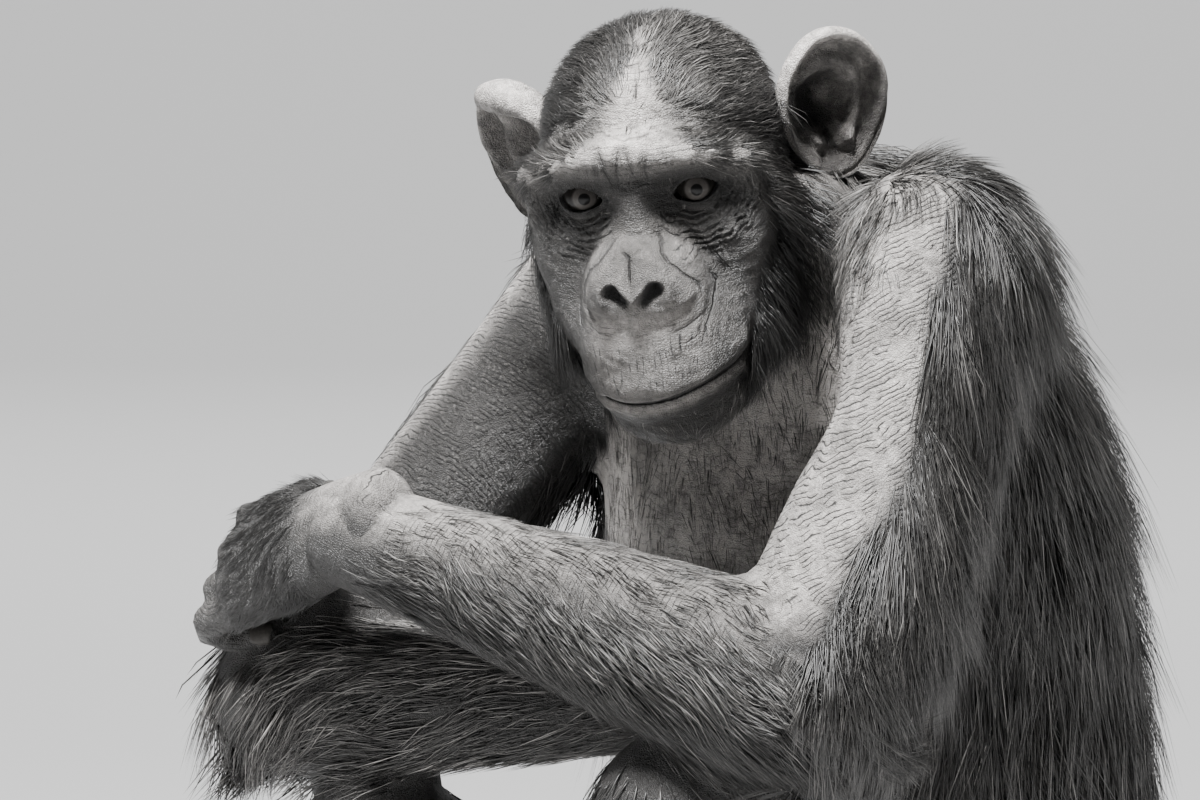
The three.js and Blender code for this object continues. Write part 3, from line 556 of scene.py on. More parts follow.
def hump(offset, width, power=2):
    """1 where the offset is nothing, falling off to both sides within about that width."""
    return np.exp(-((offset / width) ** power))


def spot(across, wide, up, high, power=2):
    return np.exp(-((across / wide) ** power) - (up / high) ** power)


def line_distance(x, z, points):
    nearest = np.full(len(x), 1e9)
    here = np.stack([x, z], -1)
    for a, b in zip(points, points[1:]):
        nearest = np.minimum(nearest, np.linalg.norm(off_line(here, a, b)[0], axis=-1))
    return nearest


nose_top = [(-6.6, -9.6), (3, -10.5), (12.4, -11.9), (23.9, -24.2), (32, -37)]
nose_low = [(31, -43), (24, -45), (12, -49), (0.4, -50), (-9, -48), (-18, -45.5), (-27, -40)]
nose_outline = nose_top + nose_low + [(-26.5, -32), (-21.5, -23), (-6.6, -9.6)]


def inside_outline(x, z, outline):
    inside = np.zeros(len(x), bool)
    for (ax, az), (bx, bz) in zip(outline, outline[1:]):
        crosses = (az > z) != (bz > z)
        inside ^= crosses & (x < (bx - ax) * (z - az) / np.where(bz == az, 1e-9, bz - az) + ax)
    return inside


def eye_opening(x, z, side):
    """Distance from the edge of the lids in millimetres, negative where the eye shows."""
    ex, _, ez = eye_places[side]
    half_width = 10.4
    across = (x - ex) / half_width
    tilt = 0.1 * (x - ex) * (1 if side == "left" else -1)
    up = z - ez - tilt * 0.6
    top = 5.8 * np.maximum(0, 1 - across**2) ** 0.7
    low = 6.0 * np.maximum(0, 1 - across**2) ** 0.9
    beside = np.hypot(up, (np.abs(across) - 1) * half_width)
    return np.where(np.abs(across) < 1, np.maximum(up - top, -low - up), beside)


def under_eye(x, z, side):
    """How far out from the eye a place lies, in folds, and how deep the folds are there."""
    ex, _, ez = eye_places[side]
    way = 1 if side == "left" else -1
    r = np.hypot((x - ex) / 1.12, z - ez + 1)
    angle = np.degrees(np.arctan2(-(z - ez + 1), (x - ex) * way))
    fan = smooth_step(angle, -28, 12) * falling(angle, 140, 168)
    depth = fan * smooth_step(r, 8.5, 12) * falling(r, 25, 33)
    from_nose = np.where(inside_outline(x, z, nose_outline), 0, line_distance(x, z, nose_outline))
    return r / 3.1, depth * smooth_step(from_nose, 1, 7)


def under_eye_wobble(p):
    return 0.3 * waves(p, 12, 7) + 0.12 * waves(p, 5, 17)


def nostril_depth(x, z):
    deepest = np.zeros(len(x))
    for top, low in (((-8.0, -28.6), (-3.0, -33.6)), ((13.0, -28.8), (7.8, -34.0))):
        offset, f = off_line(np.stack([x, z], -1), top, low)
        d = np.linalg.norm(offset, axis=-1) - (3.3 - 1.3 * f)
        deepest = np.maximum(deepest, falling(d, -3.0, 2.0) * (1 - 0.45 * f))
    return deepest


def face_relief(p):
    """Folds and wings of the face: their height over the smooth head, and the painted shade that darkens
    their grooves, creases and the lids' edges.
    """
    painted_fold_shade = np.zeros(len(p))

    def groove(line, deep, wide):
        nonlocal relief, painted_fold_shade
        shape = hump(line_distance(x, z, line), wide) * front
        if line[0] != line[-1]:
            for ex, ez in (line[0], line[-1]):
                shape = shape * np.clip(np.hypot(x - ex, z - ez) / 6, 0.1, 1)
        relief -= deep * shape
        # Each groove is darkened by painted shade as well as pressed in.
        painted_fold_shade = np.maximum(painted_fold_shade, 0.4 * np.minimum(1, deep / 1.3) * shape)

    x, y, z = p.T
    front = smooth_step(-y, -22, 4)
    # Soft lumps all over, hollows over and under the brow ridge, and the ridge's own lumps
    relief = (0.5 * waves(p, 21, 3) + 0.22 * waves(p, 8, 9)) * front
    from_brow = z - brow_height(x)
    relief -= 3.6 * hump(from_brow - 14, 3.5) * falling(np.abs(x), 42, 58) * front
    relief -= 1.6 * hump(from_brow + 11.5, 2.5) * falling(np.abs(x), 46, 54) * front
    relief += (1.1 * waves(p * [1, 1, 0.4], 10, 12) + 0.6 * waves(p, 5, 13)) * hump(from_brow, 8) * front
    # The raised plate of the nose, and the grooves along its edge and its bridge
    edge = line_distance(x, z, nose_outline)
    plate = inside_outline(x, z, nose_outline)
    relief += np.where(plate, 1.8 * smooth_step(edge, 0, 4 + 12 * smooth_step(-z, 36, 46)), 0) * front
    groove(nose_outline[10:], 1.6, 1.9)
    groove(nose_outline[:6], 1.4, 1.9)
    groove(nose_outline[4:10], 0.25, 1.5)
    groove([(-5, -11.5), (1.2, -15.5), (2.6, -27)], 2.0, 2.2)
    groove([(1.2, -15.5), (8, -12)], 0.8, 1.3)
    # Wings of the nose, its tip, the nostrils and the wall between them
    for side, tx in ((-1, -8.0), (1, 13.5)):
        wing = [(2.6, -31), (tx * 0.6 + 1, -26), (tx + side * 2, -24.5)]
        wing += [(tx + side * 6, -28), (tx + side * 6, -35)]
        rim = line_distance(x, z, wing)
        relief += 1.9 * hump(rim, 2.4) * front
    relief += 1.8 * spot(x - 2.6, 6, z + 27, 5) * front
    relief -= 8.5 * nostril_depth(x, z) * front
    septum = line_distance(x, z, [(2.6, -32), (2.4, -45)])
    relief += hump(septum, 2.0) * front
    # Folds of the cheeks, from the nose down to the corners of the mouth
    for fold, deep in (
        ([(27, -22), (33, -31), (36, -39), (35, -47), (32, -54), (30.5, -61)], 1.9),
        ([(-23, -20), (-29, -31), (-31.5, -43), (-31, -56)], 1.5),
        ([(21, -9), (29, -20), (36, -29), (43, -41)], 1.2),
        ([(-17, -9), (-25, -20), (-33, -31)], 1.2),
        ([(34, -48), (26, -51), (19, -52)], 1.0),
        ([(33, -55), (25, -57)], 0.9),
        ([(-26, -46), (-30, -52)], 0.9),
    ):
        groove(fold, deep, 1.8)
    # Upright wrinkles between the brows
    frown = ((-14, 0.25, 1.5), (-9.5, -0.15, 1.9), (-3, 0.2, 1.7), (4, -0.15, 1.2), (11, 0.15, 1.0))
    for fx, lean, deep in frown:
        line = x - fx - lean * (z - 25)
        crease = hump(line, 1.6) * smooth_step(z, 11, 18) * falling(z, 29, 37) * front
        relief -= deep * crease
        painted_fold_shade = np.maximum(painted_fold_shade, 0.3 * deep * crease)
    # Folds under the eyes, creases of the lids and the lids' edges
    for side in ("left", "right"):
        turns, depth = under_eye(x, z, side)
        folds = 1 - 2 * np.abs(np.sin(np.pi * (turns + under_eye_wobble(p)))) ** 0.6
        folds = depth * folds * np.clip(0.75 + 0.5 * waves(p, 14, 21), 0.1, 1.3) * front
        relief -= 1.25 * folds
        painted_fold_shade = np.maximum(painted_fold_shade, 0.5 * folds)
        edge = eye_opening(x, z, side)
        above = z > eye_places[side][2]
        lid_crease = hump(edge - 3.6, 1.2) * np.where(above, 1, 0.5) * front
        relief -= 1.6 * lid_crease
        rim = hump(edge - 0.4, 1.1) * front
        painted_fold_shade = np.maximum(painted_fold_shade, np.maximum(0.7 * lid_crease, 0.8 * rim))
    # The mouth's gap, the rims of the lips and the upright creases over the upper one
    low = z - mouth_height(x)
    lips = smooth_step(-y, -10, 12) * smooth_step(x, -38, -30) * falling(x, 41, 49)
    relief -= 3.2 * hump(low, 1.7) * lips
    relief += hump(low - 4.4, 2.6) * lips + 0.5 * hump(low + 3.6, 1.8) * lips
    relief -= 0.9 * hump(low + 8.0, 2.4) * lips
    turns = (x - 3) / 6.1 + 0.9 * waves(p, 34, 31) + 0.3 * waves(p, 11, 37)
    lip_creases = np.abs(np.sin(np.pi * turns)) ** 0.35 - 0.85
    uneven = np.clip(0.6 + 0.6 * waves(p, 16, 47), 0, 1.2)
    lip_creases = lip_creases * uneven * smooth_step(low, 5, 12) * falling(low, 20, 30) * lips
    relief += 0.9 * lip_creases
    return relief, np.maximum(painted_fold_shade, -0.7 * lip_creases)


# Lines of the face's folds; each one's number sets how deep its groove is and how dark its painted shade.
fold_lines = [
    ([(-5, -11.5), (1.2, -15.5), (2.6, -27)], 1),
    ([(1.2, -15.5), (8, -12)], 0.5),
    ([(9, -9), (15, -14), (23.9, -24.2), (31, -34), (33, -41)], 0.8),
    ([(-6.6, -9.6), (-21.5, -23), (-26.5, -32), (-27.5, -41)], 0.75),
    ([(33, -31), (36.5, -39), (36, -47), (33, -54), (31, -62)], 0.9),
    ([(-26, -22), (-31, -33), (-33, -45), (-32, -56)], 0.6),
    ([(21, -8), (30, -19), (37, -28), (44, -40)], 0.6),
    ([(33, -48), (26, -51), (17, -52.5)], 0.65),
    ([(32, -56), (24, -58.5), (20, -58)], 0.5),
    ([(-26, -47), (-20, -50.5), (-9, -52)], 0.45),
    ([(28, -64), (26, -72)], 0.5),
    ([(-15, 13), (-13, 22), (-11, 34)], 0.4),
    ([(-8.5, 12), (-9.5, 23), (-12, 36)], 0.6),
    ([(-5, 13), (-3, 24), (-1, 33)], 0.45),
    ([(5, 14), (4, 24), (2, 33)], 0.3),
    ([(10, 13), (11, 22), (13, 31)], 0.35),
]
lip_steps = np.linspace(-35, 47, 28)
fold_lines.append((list(zip(lip_steps, mouth_height(lip_steps))), 1))


def drawn_folds(x, z):
    """Signed distance from the nearest fold of the face, in millimetres, and how dark its painted shade is.
    """
    here = np.stack([x, z], -1)
    signed = np.full(len(x), 99.0)
    strength = np.zeros(len(x))
    for line, deep in fold_lines:
        line = np.array(line, float)
        for a, b in zip(line, line[1:]):
            reach = np.linalg.norm(off_line(here, a, b)[0], axis=-1)
            nearer = reach < np.abs(signed)
            way = np.sign((b - a)[0] * (here - a)[:, 1] - (b - a)[1] * (here - a)[:, 0])
            signed = np.where(nearer, reach * np.where(way == 0, 1, way), signed)
            ends = np.minimum(*(np.linalg.norm(here - end, axis=-1) for end in (line[0], line[-1])))
            strength = np.where(nearer, deep * np.clip(ends / 5, 0.15, 1), strength)
    return signed, strength * falling(np.abs(signed), 1.5, 2.6)


head_middle = np.array([1, 38, -24.0])
face_pole = unit([0.04, -1, -0.42])
pole_up = unit(np.array([0, 0, 1]) - face_pole * face_pole[2])
pole_side = np.cross(pole_up, face_pole)
leans = [math.radians(0.5)]
while leans[-1] < math.radians(177.5):
    wide = smooth_step(np.array(leans[-1]), math.radians(52), math.radians(95))
    leans.append(leans[-1] + math.radians(0.56 + 2.9 * float(wide)))
leans = np.array(leans)
head_around = 316
lean, turn = ring_grid(leans, head_around)
head_ways = (
    face_pole * np.cos(lean)[:, None]
    + pole_up * (np.sin(lean) * np.cos(turn))[:, None]
    + pole_side * (np.sin(lean) * np.sin(turn))[:, None]
)


def head_reach(ways):
    """How far the head reaches each way: from well outside, step by step down to it."""
    well_outside, steps, share_of_step = 165.0, 26, 0.72
    reach = np.full(len(ways), well_outside)
    for _ in range(steps):
        reach -= share_of_step * np.clip(head_distance(head_middle + ways * reach[:, None]), -4, 40)
    return reach


reach = head_reach(head_ways).reshape(len(leans), head_around)
for _ in range(3):
    beside = np.roll(reach, 1, 1) + np.roll(reach, -1, 1)
    beyond = np.vstack([reach[:1], reach[:-1]]) + np.vstack([reach[1:], reach[-1:]])
    reach = (3 * reach + beside + beyond) / 7
reach = reach.ravel()
bare_head = head_middle + head_ways * reach[:, None]


def ball_reach(ways, centre, radius):
    """Where rays from the head's middle leave a ball, or nothing where they miss it."""
    offset = head_middle - centre
    half = ways @ offset
    inner = half**2 - (offset @ offset - radius**2)
    return np.where(inner > 0, -half + np.sqrt(np.maximum(inner, 0)), 0)


lidded = reach + face_relief(bare_head)[0]
for side, centre in eye_places.items():
    x, _, z = bare_head.T
    near = (np.hypot(x - centre[0], z - centre[2]) < 19) & (bare_head[:, 1] < 14)
    lid = ball_reach(head_ways, centre, eye_radius + 2.3)
    lid = -smooth_least(-lidded, -lid, 3)
    deep = np.maximum(ball_reach(head_ways, centre, eye_radius - 3.5), lidded - 9)
    edge = eye_opening(x, z, side)
    shape = lid + (np.minimum(deep, lid) - lid) * falling(edge, -1.3, 1.0)
    lidded = np.where(near, shape, lidded)
head_points = head_middle + head_ways * lidded[:, None]
front_end = face_pole * lidded[:head_around].mean()
back_end = -face_pole * lidded[-head_around:].mean()
head_points_and_ends = np.vstack([head_points, head_middle + np.array([front_end, back_end])])
head = new_piece("head", out_of_face(head_points_and_ends), ringed_faces(len(leans), head_around))


# Ears
# Large round ears that stand off the head: a thin cup of gristle with a rolled rim, a second ridge
# inside it, a deep hollow painted dark as shade, and a small flap before the ear's opening.
ear_roots = {"left": np.array([60, 74, 6.0]), "right": np.array([60, 74, -2.0])}
ear_inside = [(0.0, 15.0), (0.12, 14.5), (0.28, 12.5), (0.42, 8.0), (0.52, 4.5), (0.6, 3.6)]
ear_inside += [(0.66, 4.8), (0.72, 4.6), (0.78, 1.5), (0.83, -2.6), (0.88, -5.0), (0.93, -5.6)]
ear_outside = [(0.98, -4.2), (1.0, -1.2), (0.985, 1.6), (0.94, 4.6), (0.84, 8.0)]
ear_outside += [(0.7, 11.5), (0.5, 15.5), (0.25, 18.5), (0.0, 19.0)]
ear_wall = np.array(ear_inside + ear_outside)


def ear_forms(ear_x, ear_z):
    """The ear's hollow and the ridges and flaps round it; the skin paints shade in the hollow, highlights on
    the ridges.
    """
    hollow = spot(ear_x + 0.2, 0.38, ear_z + 0.02, 0.38, 4)
    hollow = np.maximum(hollow, 0.8 * spot(ear_x + 0.06, 0.12, ear_z + 0.5, 0.16))
    ridges = spot(ear_x - 0.24, 0.17, ear_z + 0.52, 0.17)
    ridges += 0.9 * spot(ear_x + 0.4, 0.14, ear_z + 0.46, 0.17)
    bent = ear_x - 0.42 + 0.3 * ear_z**2
    ridges += 0.7 * hump(bent, 0.13) * smooth_step(ear_z, -0.5, -0.2) * falling(ear_z, 0.25, 0.5)
    upper = ear_z - 0.42 + 0.1 * ear_x
    ridges += 0.5 * hump(upper, 0.12) * falling(np.abs(ear_x - 0.1), 0.45, 0.75)
    return hollow, np.minimum(ridges, 1)


ear_turn = math.radians(43)
ear_width, ear_half_width, ear_half_height = 64, 32, 37.5
ear_middle_share = 0.46
front_rings = 24


def ear(side):
    way = 1 if side == "left" else -1
    outward = np.array([math.cos(ear_turn), math.sin(ear_turn), 0])
    inward = np.array([-math.sin(ear_turn), math.cos(ear_turn), 0])
    middle = ear_roots[side] + outward * ear_middle_share * ear_width
    around = 64
    wall = along_knots(ear_wall, np.linspace(0, len(ear_wall) - 1, 41))[1:-1]
    share, angle = np.meshgrid(wall[:, 0], np.arange(around) / around * 2 * np.pi, indexing="ij")
    depth = np.repeat(wall[:, 1][:, None], around, 1)
    front = (np.arange(len(wall)) < front_rings)[:, None]
    roll = smooth_step(np.sin(angle), -0.75, 0.1)
    depth = np.where(front & (share > 0.8), depth * (0.35 + 0.65 * roll) + 1.5 * (1 - roll), depth)
    ear_x, ear_z = share * np.cos(angle), share * np.sin(angle)
    hollow, ridges = ear_forms(ear_x, ear_z)
    depth = depth + 5 * hollow - np.where(front, 5.5 * ridges, 0)
    across = ear_half_width * np.cos(angle) * (1 + 0.1 * np.sin(angle)) * share
    up = ear_half_height * np.sin(angle) * (1 - 0.06 * np.cos(2 * angle)) * share
    points = middle + outward * across[..., None] + inward * depth[..., None]
    if side == "right":
        curl_start, curl = 14, 0.07
        over = np.maximum(up - curl_start, 0)
        sunk = depth * (np.cos(curl * over) - 1) - (1 - np.cos(curl * over)) / curl
        up = np.minimum(up, curl_start) + np.sin(curl * over) * (1 / curl + depth)
        points = points + inward * sunk[..., None]
    points[..., 2] += up
    points = points.reshape(-1, 3)
    points = points + unit(inward) * (0.5 * waves(points, 13, 5))[:, None]
    ends = middle + inward * np.array([[15.0], [19.0]])
    points = np.vstack([points, ends])
    points[:, 0] *= way
    return new_piece(side + " ear", out_of_face(points), ringed_faces(len(wall), around))


ears = [ear("left"), ear("right")]


# The skin
# One unbroken skin over the whole body: bare and creased on the face, ears, shoulder and hands,
# sparsely haired on the chest and the upper arms, and dark under the coat elsewhere.
for piece in (head, *ears):
    faces_out(piece)
skin = body
for piece in (*hands_and_feet, head, *ears):
    select_only(skin)
    reshape_by(skin, "BOOLEAN", operation="UNION", solver="MANIFOLD", object=piece)
    bpy.data.objects.remove(piece)
skin.name = "skin"
skin.data.name = "skin"
select_only(skin)
bpy.ops.object.shade_smooth()


def read_rows(items, field, kind=np.float32, wide=3):
    rows = np.empty(len(items) * wide, kind)
    items.foreach_get(field, rows)
    return rows.reshape(-1, wide)


skin_points = read_rows(skin.data.vertices, "co").astype(float) * 1000
skin_points[:, 2] = np.maximum(skin_points[:, 2], 0)
skin.data.vertices.foreach_set("co", (skin_points * 0.001).astype(np.float32).ravel())
skin.data.update()


# Parts of the skin
# The skin is one piece, but its shade, creases and hair change from part to part of the body. Each
# place of it is given its part and where on that part it lies, by the nearest point of the forms.
region_names = list(stretches) + list(extremities) + ["head", "left ear", "right ear"]
region_tree_points, region_rows = [], []


def mark_region(number, stretch, rings, around):
    places = np.concatenate([[-0.8, -0.4], np.linspace(0, 1, rings), [1.4, 1.8]])
    place, angle = ring_grid(places, around)
    line = stretch.section(place)[1]
    region_tree_points.extend(stretch.surface(place, angle))
    region_rows.extend((number, place[i], angle[i], *line[i]) for i in range(len(place)))


for number, name in enumerate(region_names):
    if name in stretches:
        mark_region(number, stretches[name], 30, 30)
    elif name in extremities:
        for piece in extremities[name]:
            mark_region(number, piece, 8, 12)
    elif name == "head":
        for i in range(0, len(head_points), 3):
            region_tree_points.append(out_of_face(head_points[i]))
            region_rows.append((number, lean[i] / np.pi, turn[i], 0, 0, 0))
    else:
        way = 1 if name == "left ear" else -1
        to_middle = np.array([0.73, 0.68, 0]) * ear_middle_share * ear_width
        centre = ear_roots[name.split()[0]] + to_middle
        for r in (0.3, 0.55, 0.8, 1.0):
            for a in np.linspace(0, 6.28, 24):
                for depth in (0, 8, 16):
                    out = np.array([0.731, 0.682, 0]) * ear_half_width * r * math.cos(a)
                    back = np.array([-0.682, 0.731, 0]) * depth * (1.2 - r)
                    p = centre + out + back + np.array([0, 0, ear_half_height * r * math.sin(a)])
                    region_tree_points.append(out_of_face(p * [way, 1, 1]))
                    region_rows.append((number, r, a, 0, 0, 0))
region_rows = np.array(region_rows)
tree = KDTree(len(region_tree_points))
for i, p in enumerate(region_tree_points):
    tree.insert(p, i)
tree.balance()


def on(region, *names):
    """True where a place belongs to one of the named parts of the body."""
    return np.isin(region[:, 0], [region_names.index(name) for name in names])


shoulder_outward = np.array([0.643, 0.766, 0])


def parting_width(z):
    """Half the width of the bare parting on the crown, by the height over the eyes."""
    return 22 - np.where(z > 30, 0.5, 0.8) * (z - 30)


def hair_border(place):
    """How far round the left upper arm the coat begins, from the shoulder down to the elbow."""
    return 0.22 - 0.4 * smooth_step(place, 0.5, 0.95)


def marked_tone(points, region, out):
    """How light the skin and its hair are, from 0, black, to 1, the palest grey."""
    place, angle = region[:, 1], region[:, 2]
    tone = np.full(len(points), 0.05)
    tone += 0.02 * waves(points, 60, 11)
    lit = smooth_step(out[:, 2], -0.3, 0.9)

    def part(*names):
        return on(region, *names)

    # Upper arms, pale where they are bare; the right one is pale on its upper outer side, partly bare
    # skin and partly painted light from above
    outward = dots(out, shoulder_outward)
    border = hair_border(place)
    shoulder = 0.05 + 0.5 * falling(outward, border - 0.1, border + 0.15) * falling(place, 0.88, 1.0)
    shoulder *= 0.9 + 0.2 * waves(points, 40, 14)
    tone = np.where(part("left upper arm"), shoulder, tone)
    # Painted light: the right upper arm grows paler the more it faces up and out.
    above = smooth_step(dots(out, unit([-0.75, -0.35, 0.6])), 0.35, 0.98)
    upper = 0.05 + 0.7 * above**1.5 * falling(place, 0.75, 0.95) * (0.8 + 0.2 * waves(points, 25, 4))
    tone = np.where(part("right upper arm"), upper, tone)
    # Forearms, the left one pale along its top towards the wrist: partly its bare skin and partly painted
    # light, as only the upward side is pale
    painted_top_light = smooth_step(out[:, 2], 0, 0.85)
    wrist = 0.6 + 0.4 * smooth_step(place, 0.45, 0.85)
    tone = np.where(part("left forearm"), 0.05 + 0.48 * wrist * painted_top_light, tone)
    to_knuckles = unit(joints["left knuckles"] - joints["left wrist"])
    cuff = falling((points - joints["left wrist"]) @ to_knuckles, 2, 30)
    tone = np.where(part("right forearm"), 0.05, tone)
    # Chest, hands, feet and ears. The upper chest is paler to the front, partly its own colour and partly
    # painted light that lifts the shade under the head; the fingers are paler where they face up, as
    # painted light.
    chest = (0.2 + 0.7 * smooth_step(-out[:, 1], 0.1, 0.8)) * (0.9 + 0.3 * waves(points, 40, 18))
    chest = 0.08 + chest * smooth_step(points[:, 2], 380, 450)
    tone = np.where(part("torso", "neck"), chest, tone)
    for name in ("left hand", "right hand"):
        start, end = joints[name.split()[0] + " wrist"], joints[name.split()[0] + " knuckles"]
        share = share_between(points, start, end)
        fingers = smooth_step(share, 0.9, 1.15) * (0.3 + 0.7 * lit)
        # The left hand's pale top at the wrist is the same painted light as the forearm's.
        hand_tone = 0.03 + 0.14 * fingers + 0.46 * cuff * painted_top_light * (name == "left hand")
        tone = np.where(part(name), hand_tone, tone)
    tone = np.where(part("left foot", "right foot"), 0.24, tone)
    # The ear's cup: painted shade in its hollow, a painted highlight on its ridges, and a rim paler towards
    # the top as painted light.
    ear_x, ear_z = place * np.cos(angle), place * np.sin(angle)
    hollow, ridges = ear_forms(ear_x, ear_z)
    cup = np.clip(0.26 + 0.06 * waves(points, 12, 8) + 0.35 * ridges - 0.28 * hollow, 0.01, 1)
    lit_rim = 0.16 + 0.36 * smooth_step(ear_z, 0.1, 0.85)
    tone = np.where(part("left ear", "right ear"), cup + lit_rim * smooth_step(place, 0.74, 0.88), tone)
    # The face: a pale parting, a painted highlight along the top of the brow ridge, painted shade under
    # the brow, in the eye sockets and the nostrils, painted light under the nose, and dark cheeks and chin
    p = into_face(points)
    x, y, z = p.T
    face = 0.24 + 0.05 * waves(p, 30, 6)
    ahead = smooth_step(-y, -36, -8)
    face = face * ahead + 0.1 * (1 - ahead)
    from_brow = z - brow_height(x)
    # Painted highlight: the top of the brow ridge is made paler.
    painted_brow_highlight = hump(from_brow - 7, np.where(from_brow > 7, 2.6, 6.5))
    face += 0.36 * (painted_brow_highlight * smooth_step(-y, -22, 2) * falling(np.abs(x), 50, 60))
    # Painted shade on the front of the brow ridge, and in the furrow over it at the sides.
    face *= 1 - 0.35 * hump(from_brow + 6, 6, 4) * ahead
    face *= 1 - 0.4 * hump(from_brow - 14, 3.5) * smooth_step(np.abs(x - 3), 12, 24) * ahead
    parting = parting_width(z)
    stripe = falling(np.abs(x - 4), 0.35 * parting, parting + 5) * smooth_step(z, 30, 40)
    face += 0.45 * stripe * falling(y, 45, 75)
    # Painted shade in the eye sockets and in the folds under the eyes.
    for side, (ex, _, ez) in eye_places.items():
        around = spot(x - ex, 19, z - ez - 3, 11, 4) * ahead
        face *= 1 - 0.72 * around
        _, folded = under_eye(x, z, side)
        face -= 0.1 * folded * ahead
    # Painted shade under the brow and between the eyes.
    painted_shade_under_brow = hump(from_brow + 19, 9, 4) * falling(np.abs(x), 44, 56) * ahead
    face *= 1 - 0.6 * painted_shade_under_brow
    face *= 1 - 0.62 * spot(x - 2, 15, z - 4, 13, 4) * ahead
    plate = inside_outline(x, z, nose_outline) * smooth_step(line_distance(x, z, nose_outline), 0, 5)
    plate = plate * smooth_step(-y, 4, 16)
    face -= 0.01 * plate
    # Painted shade in the nostrils, and painted light under the nose, where the nose casts its shadow.
    face -= 0.6 * nostril_depth(x, z) * ahead
    face += 0.16 * np.exp(-(((z + 45) / 7) ** 2) - ((x - 2) / 24) ** 4) * ahead
    low = z - mouth_height(x)
    muzzle = smooth_step(-y, 12, 26)
    face += 0.08 * muzzle * smooth_step(low, 3, 16) * (1 - plate)
    cheeks = smooth_step(np.abs(x - 3), 24, 36) * smooth_step(-z, 4, 22) * ahead
    face *= 1 - 0.66 * cheeks
    chin = smooth_step(-low, 5.5, 10) * smooth_step(-y, -40, -10)
    face = face * (1 - chin) + 0.04 * chin
    rim = hump(low + 3, 1.8) * smooth_step(-y, 0, 14)
    face += 0.25 * rim
    # Painted shade from the folds, creases and lids' edges of the face darkens the tone.
    face = np.clip(face, 0.02, 1) * (1 - face_relief(p)[1])
    return np.clip(np.where(part("head"), face, tone), 0.02, 1)


def creases(points, region):
    """A phase that rises by one from crease to crease, how deep the creases are and how they stray.
    The depth also sets how dark the creases' painted shade is.
    """
    phase = dots(points, unit([0.2, 0.3, 0.9])) / 4.0
    depth = np.full(len(points), 0.25)
    stray = np.ones(len(points))
    for name, stretch in stretches.items():
        here = on(region, name)
        ends = stretch.knots[-1, :3] - stretch.knots[0, :3]
        span = np.linalg.norm(ends)
        phase = np.where(here, points @ (ends / span) / (3.1 if "arm" in name else 4), phase)
        depth = np.where(here, 0.9 if "upper arm" in name else 0.4 if "arm" in name else 0.15, depth)
        stray = np.where(here, 0.45 if "forearm" in name else 1, stray)
    slanting = points @ unit([-0.3, -0.35, 0.87]) / 2.5
    phase = np.where(on(region, "left upper arm"), slanting, phase)
    for name in extremities:
        here = on(region, name)
        way = joints[name.split()[0] + (" knuckles" if "hand" in name else " ankle")]
        depth = np.where(here, 0.8, depth)
        phase = np.where(here, np.linalg.norm(points - way, axis=-1) / 2.6, phase)
    depth = np.where(on(region, "left ear", "right ear"), 0.08, depth)
    head_here = on(region, "head")
    p = into_face(points)
    x, y, z = p.T
    ahead = smooth_step(-y, -30, -4)
    low = z - mouth_height(x)
    face_phase = z / 2.7
    face_depth = 0.3 - 0.1 * smooth_step(z, 26, 36)
    face_stray = np.full(len(points), 0.45)
    lip = smooth_step(low, 4, 10) * falling(low, 26, 36) * smooth_step(-y, 5, 20)
    across = (x - 3) / (3.0 + 0.02 * np.abs(low)) + 0.5 * waves(p, 30, 31)
    patchy = 0.5 * smooth_step(lip, 0.3, 0.7) * np.clip(0.5 + waves(p, 13, 47), 0, 1.2)
    face_depth = np.where(lip > 0.3, patchy, face_depth * falling(lip, 0, 0.3))
    face_phase = np.where(lip > 0.3, across, face_phase)
    face_stray = np.where(lip > 0.3, 0.4, face_stray)
    for side in ("left", "right"):
        turns, folded = under_eye(x, z, side)
        inner = folded > 0.1
        face_phase = np.where(inner, turns + under_eye_wobble(p), face_phase)
        face_depth = np.where(inner, smooth_step(folded, 0.1, 0.5), face_depth * falling(folded, 0, 0.1))
        face_stray = np.where(inner, 0.05, face_stray)
    plate = inside_outline(x, z, nose_outline)
    face_depth = np.where(plate, 0.05, face_depth) * ahead + 0.3 * (1 - ahead)
    face_depth *= smooth_step(np.abs(low), 2, 6)
    phase = np.where(head_here, face_phase, phase)
    depth = np.where(head_here, face_depth, depth)
    return phase, depth, np.where(head_here, face_stray, stray)


def stubble_of(points, region):
    """How much pale stubble speckles the dark skin."""
    x, y, z = into_face(points).T
    cheeks = smooth_step(np.abs(x - 3), 26, 40) * smooth_step(-z, -2, 14)
    from_brow = z - brow_height(x)
    chin = smooth_step(mouth_height(x) - z, 8, 16) * (1 - cheeks)
    face = 0.15 + 0.7 * hump(from_brow + 3, 9, 4) + 0.6 * cheeks + 0.4 * chin
    stubble = np.full(len(points), 0.25)
    stubble[on(region, "right upper arm")] = 0.8
    stubble[on(region, "left ear", "right ear")] = 0.6
    return np.where(on(region, "head"), face, stubble)


def write_attribute(mesh, name, values):
    layer = mesh.attributes.new(name, "FLOAT", "POINT")
    layer.data.foreach_set("value", np.asarray(values, np.float32))


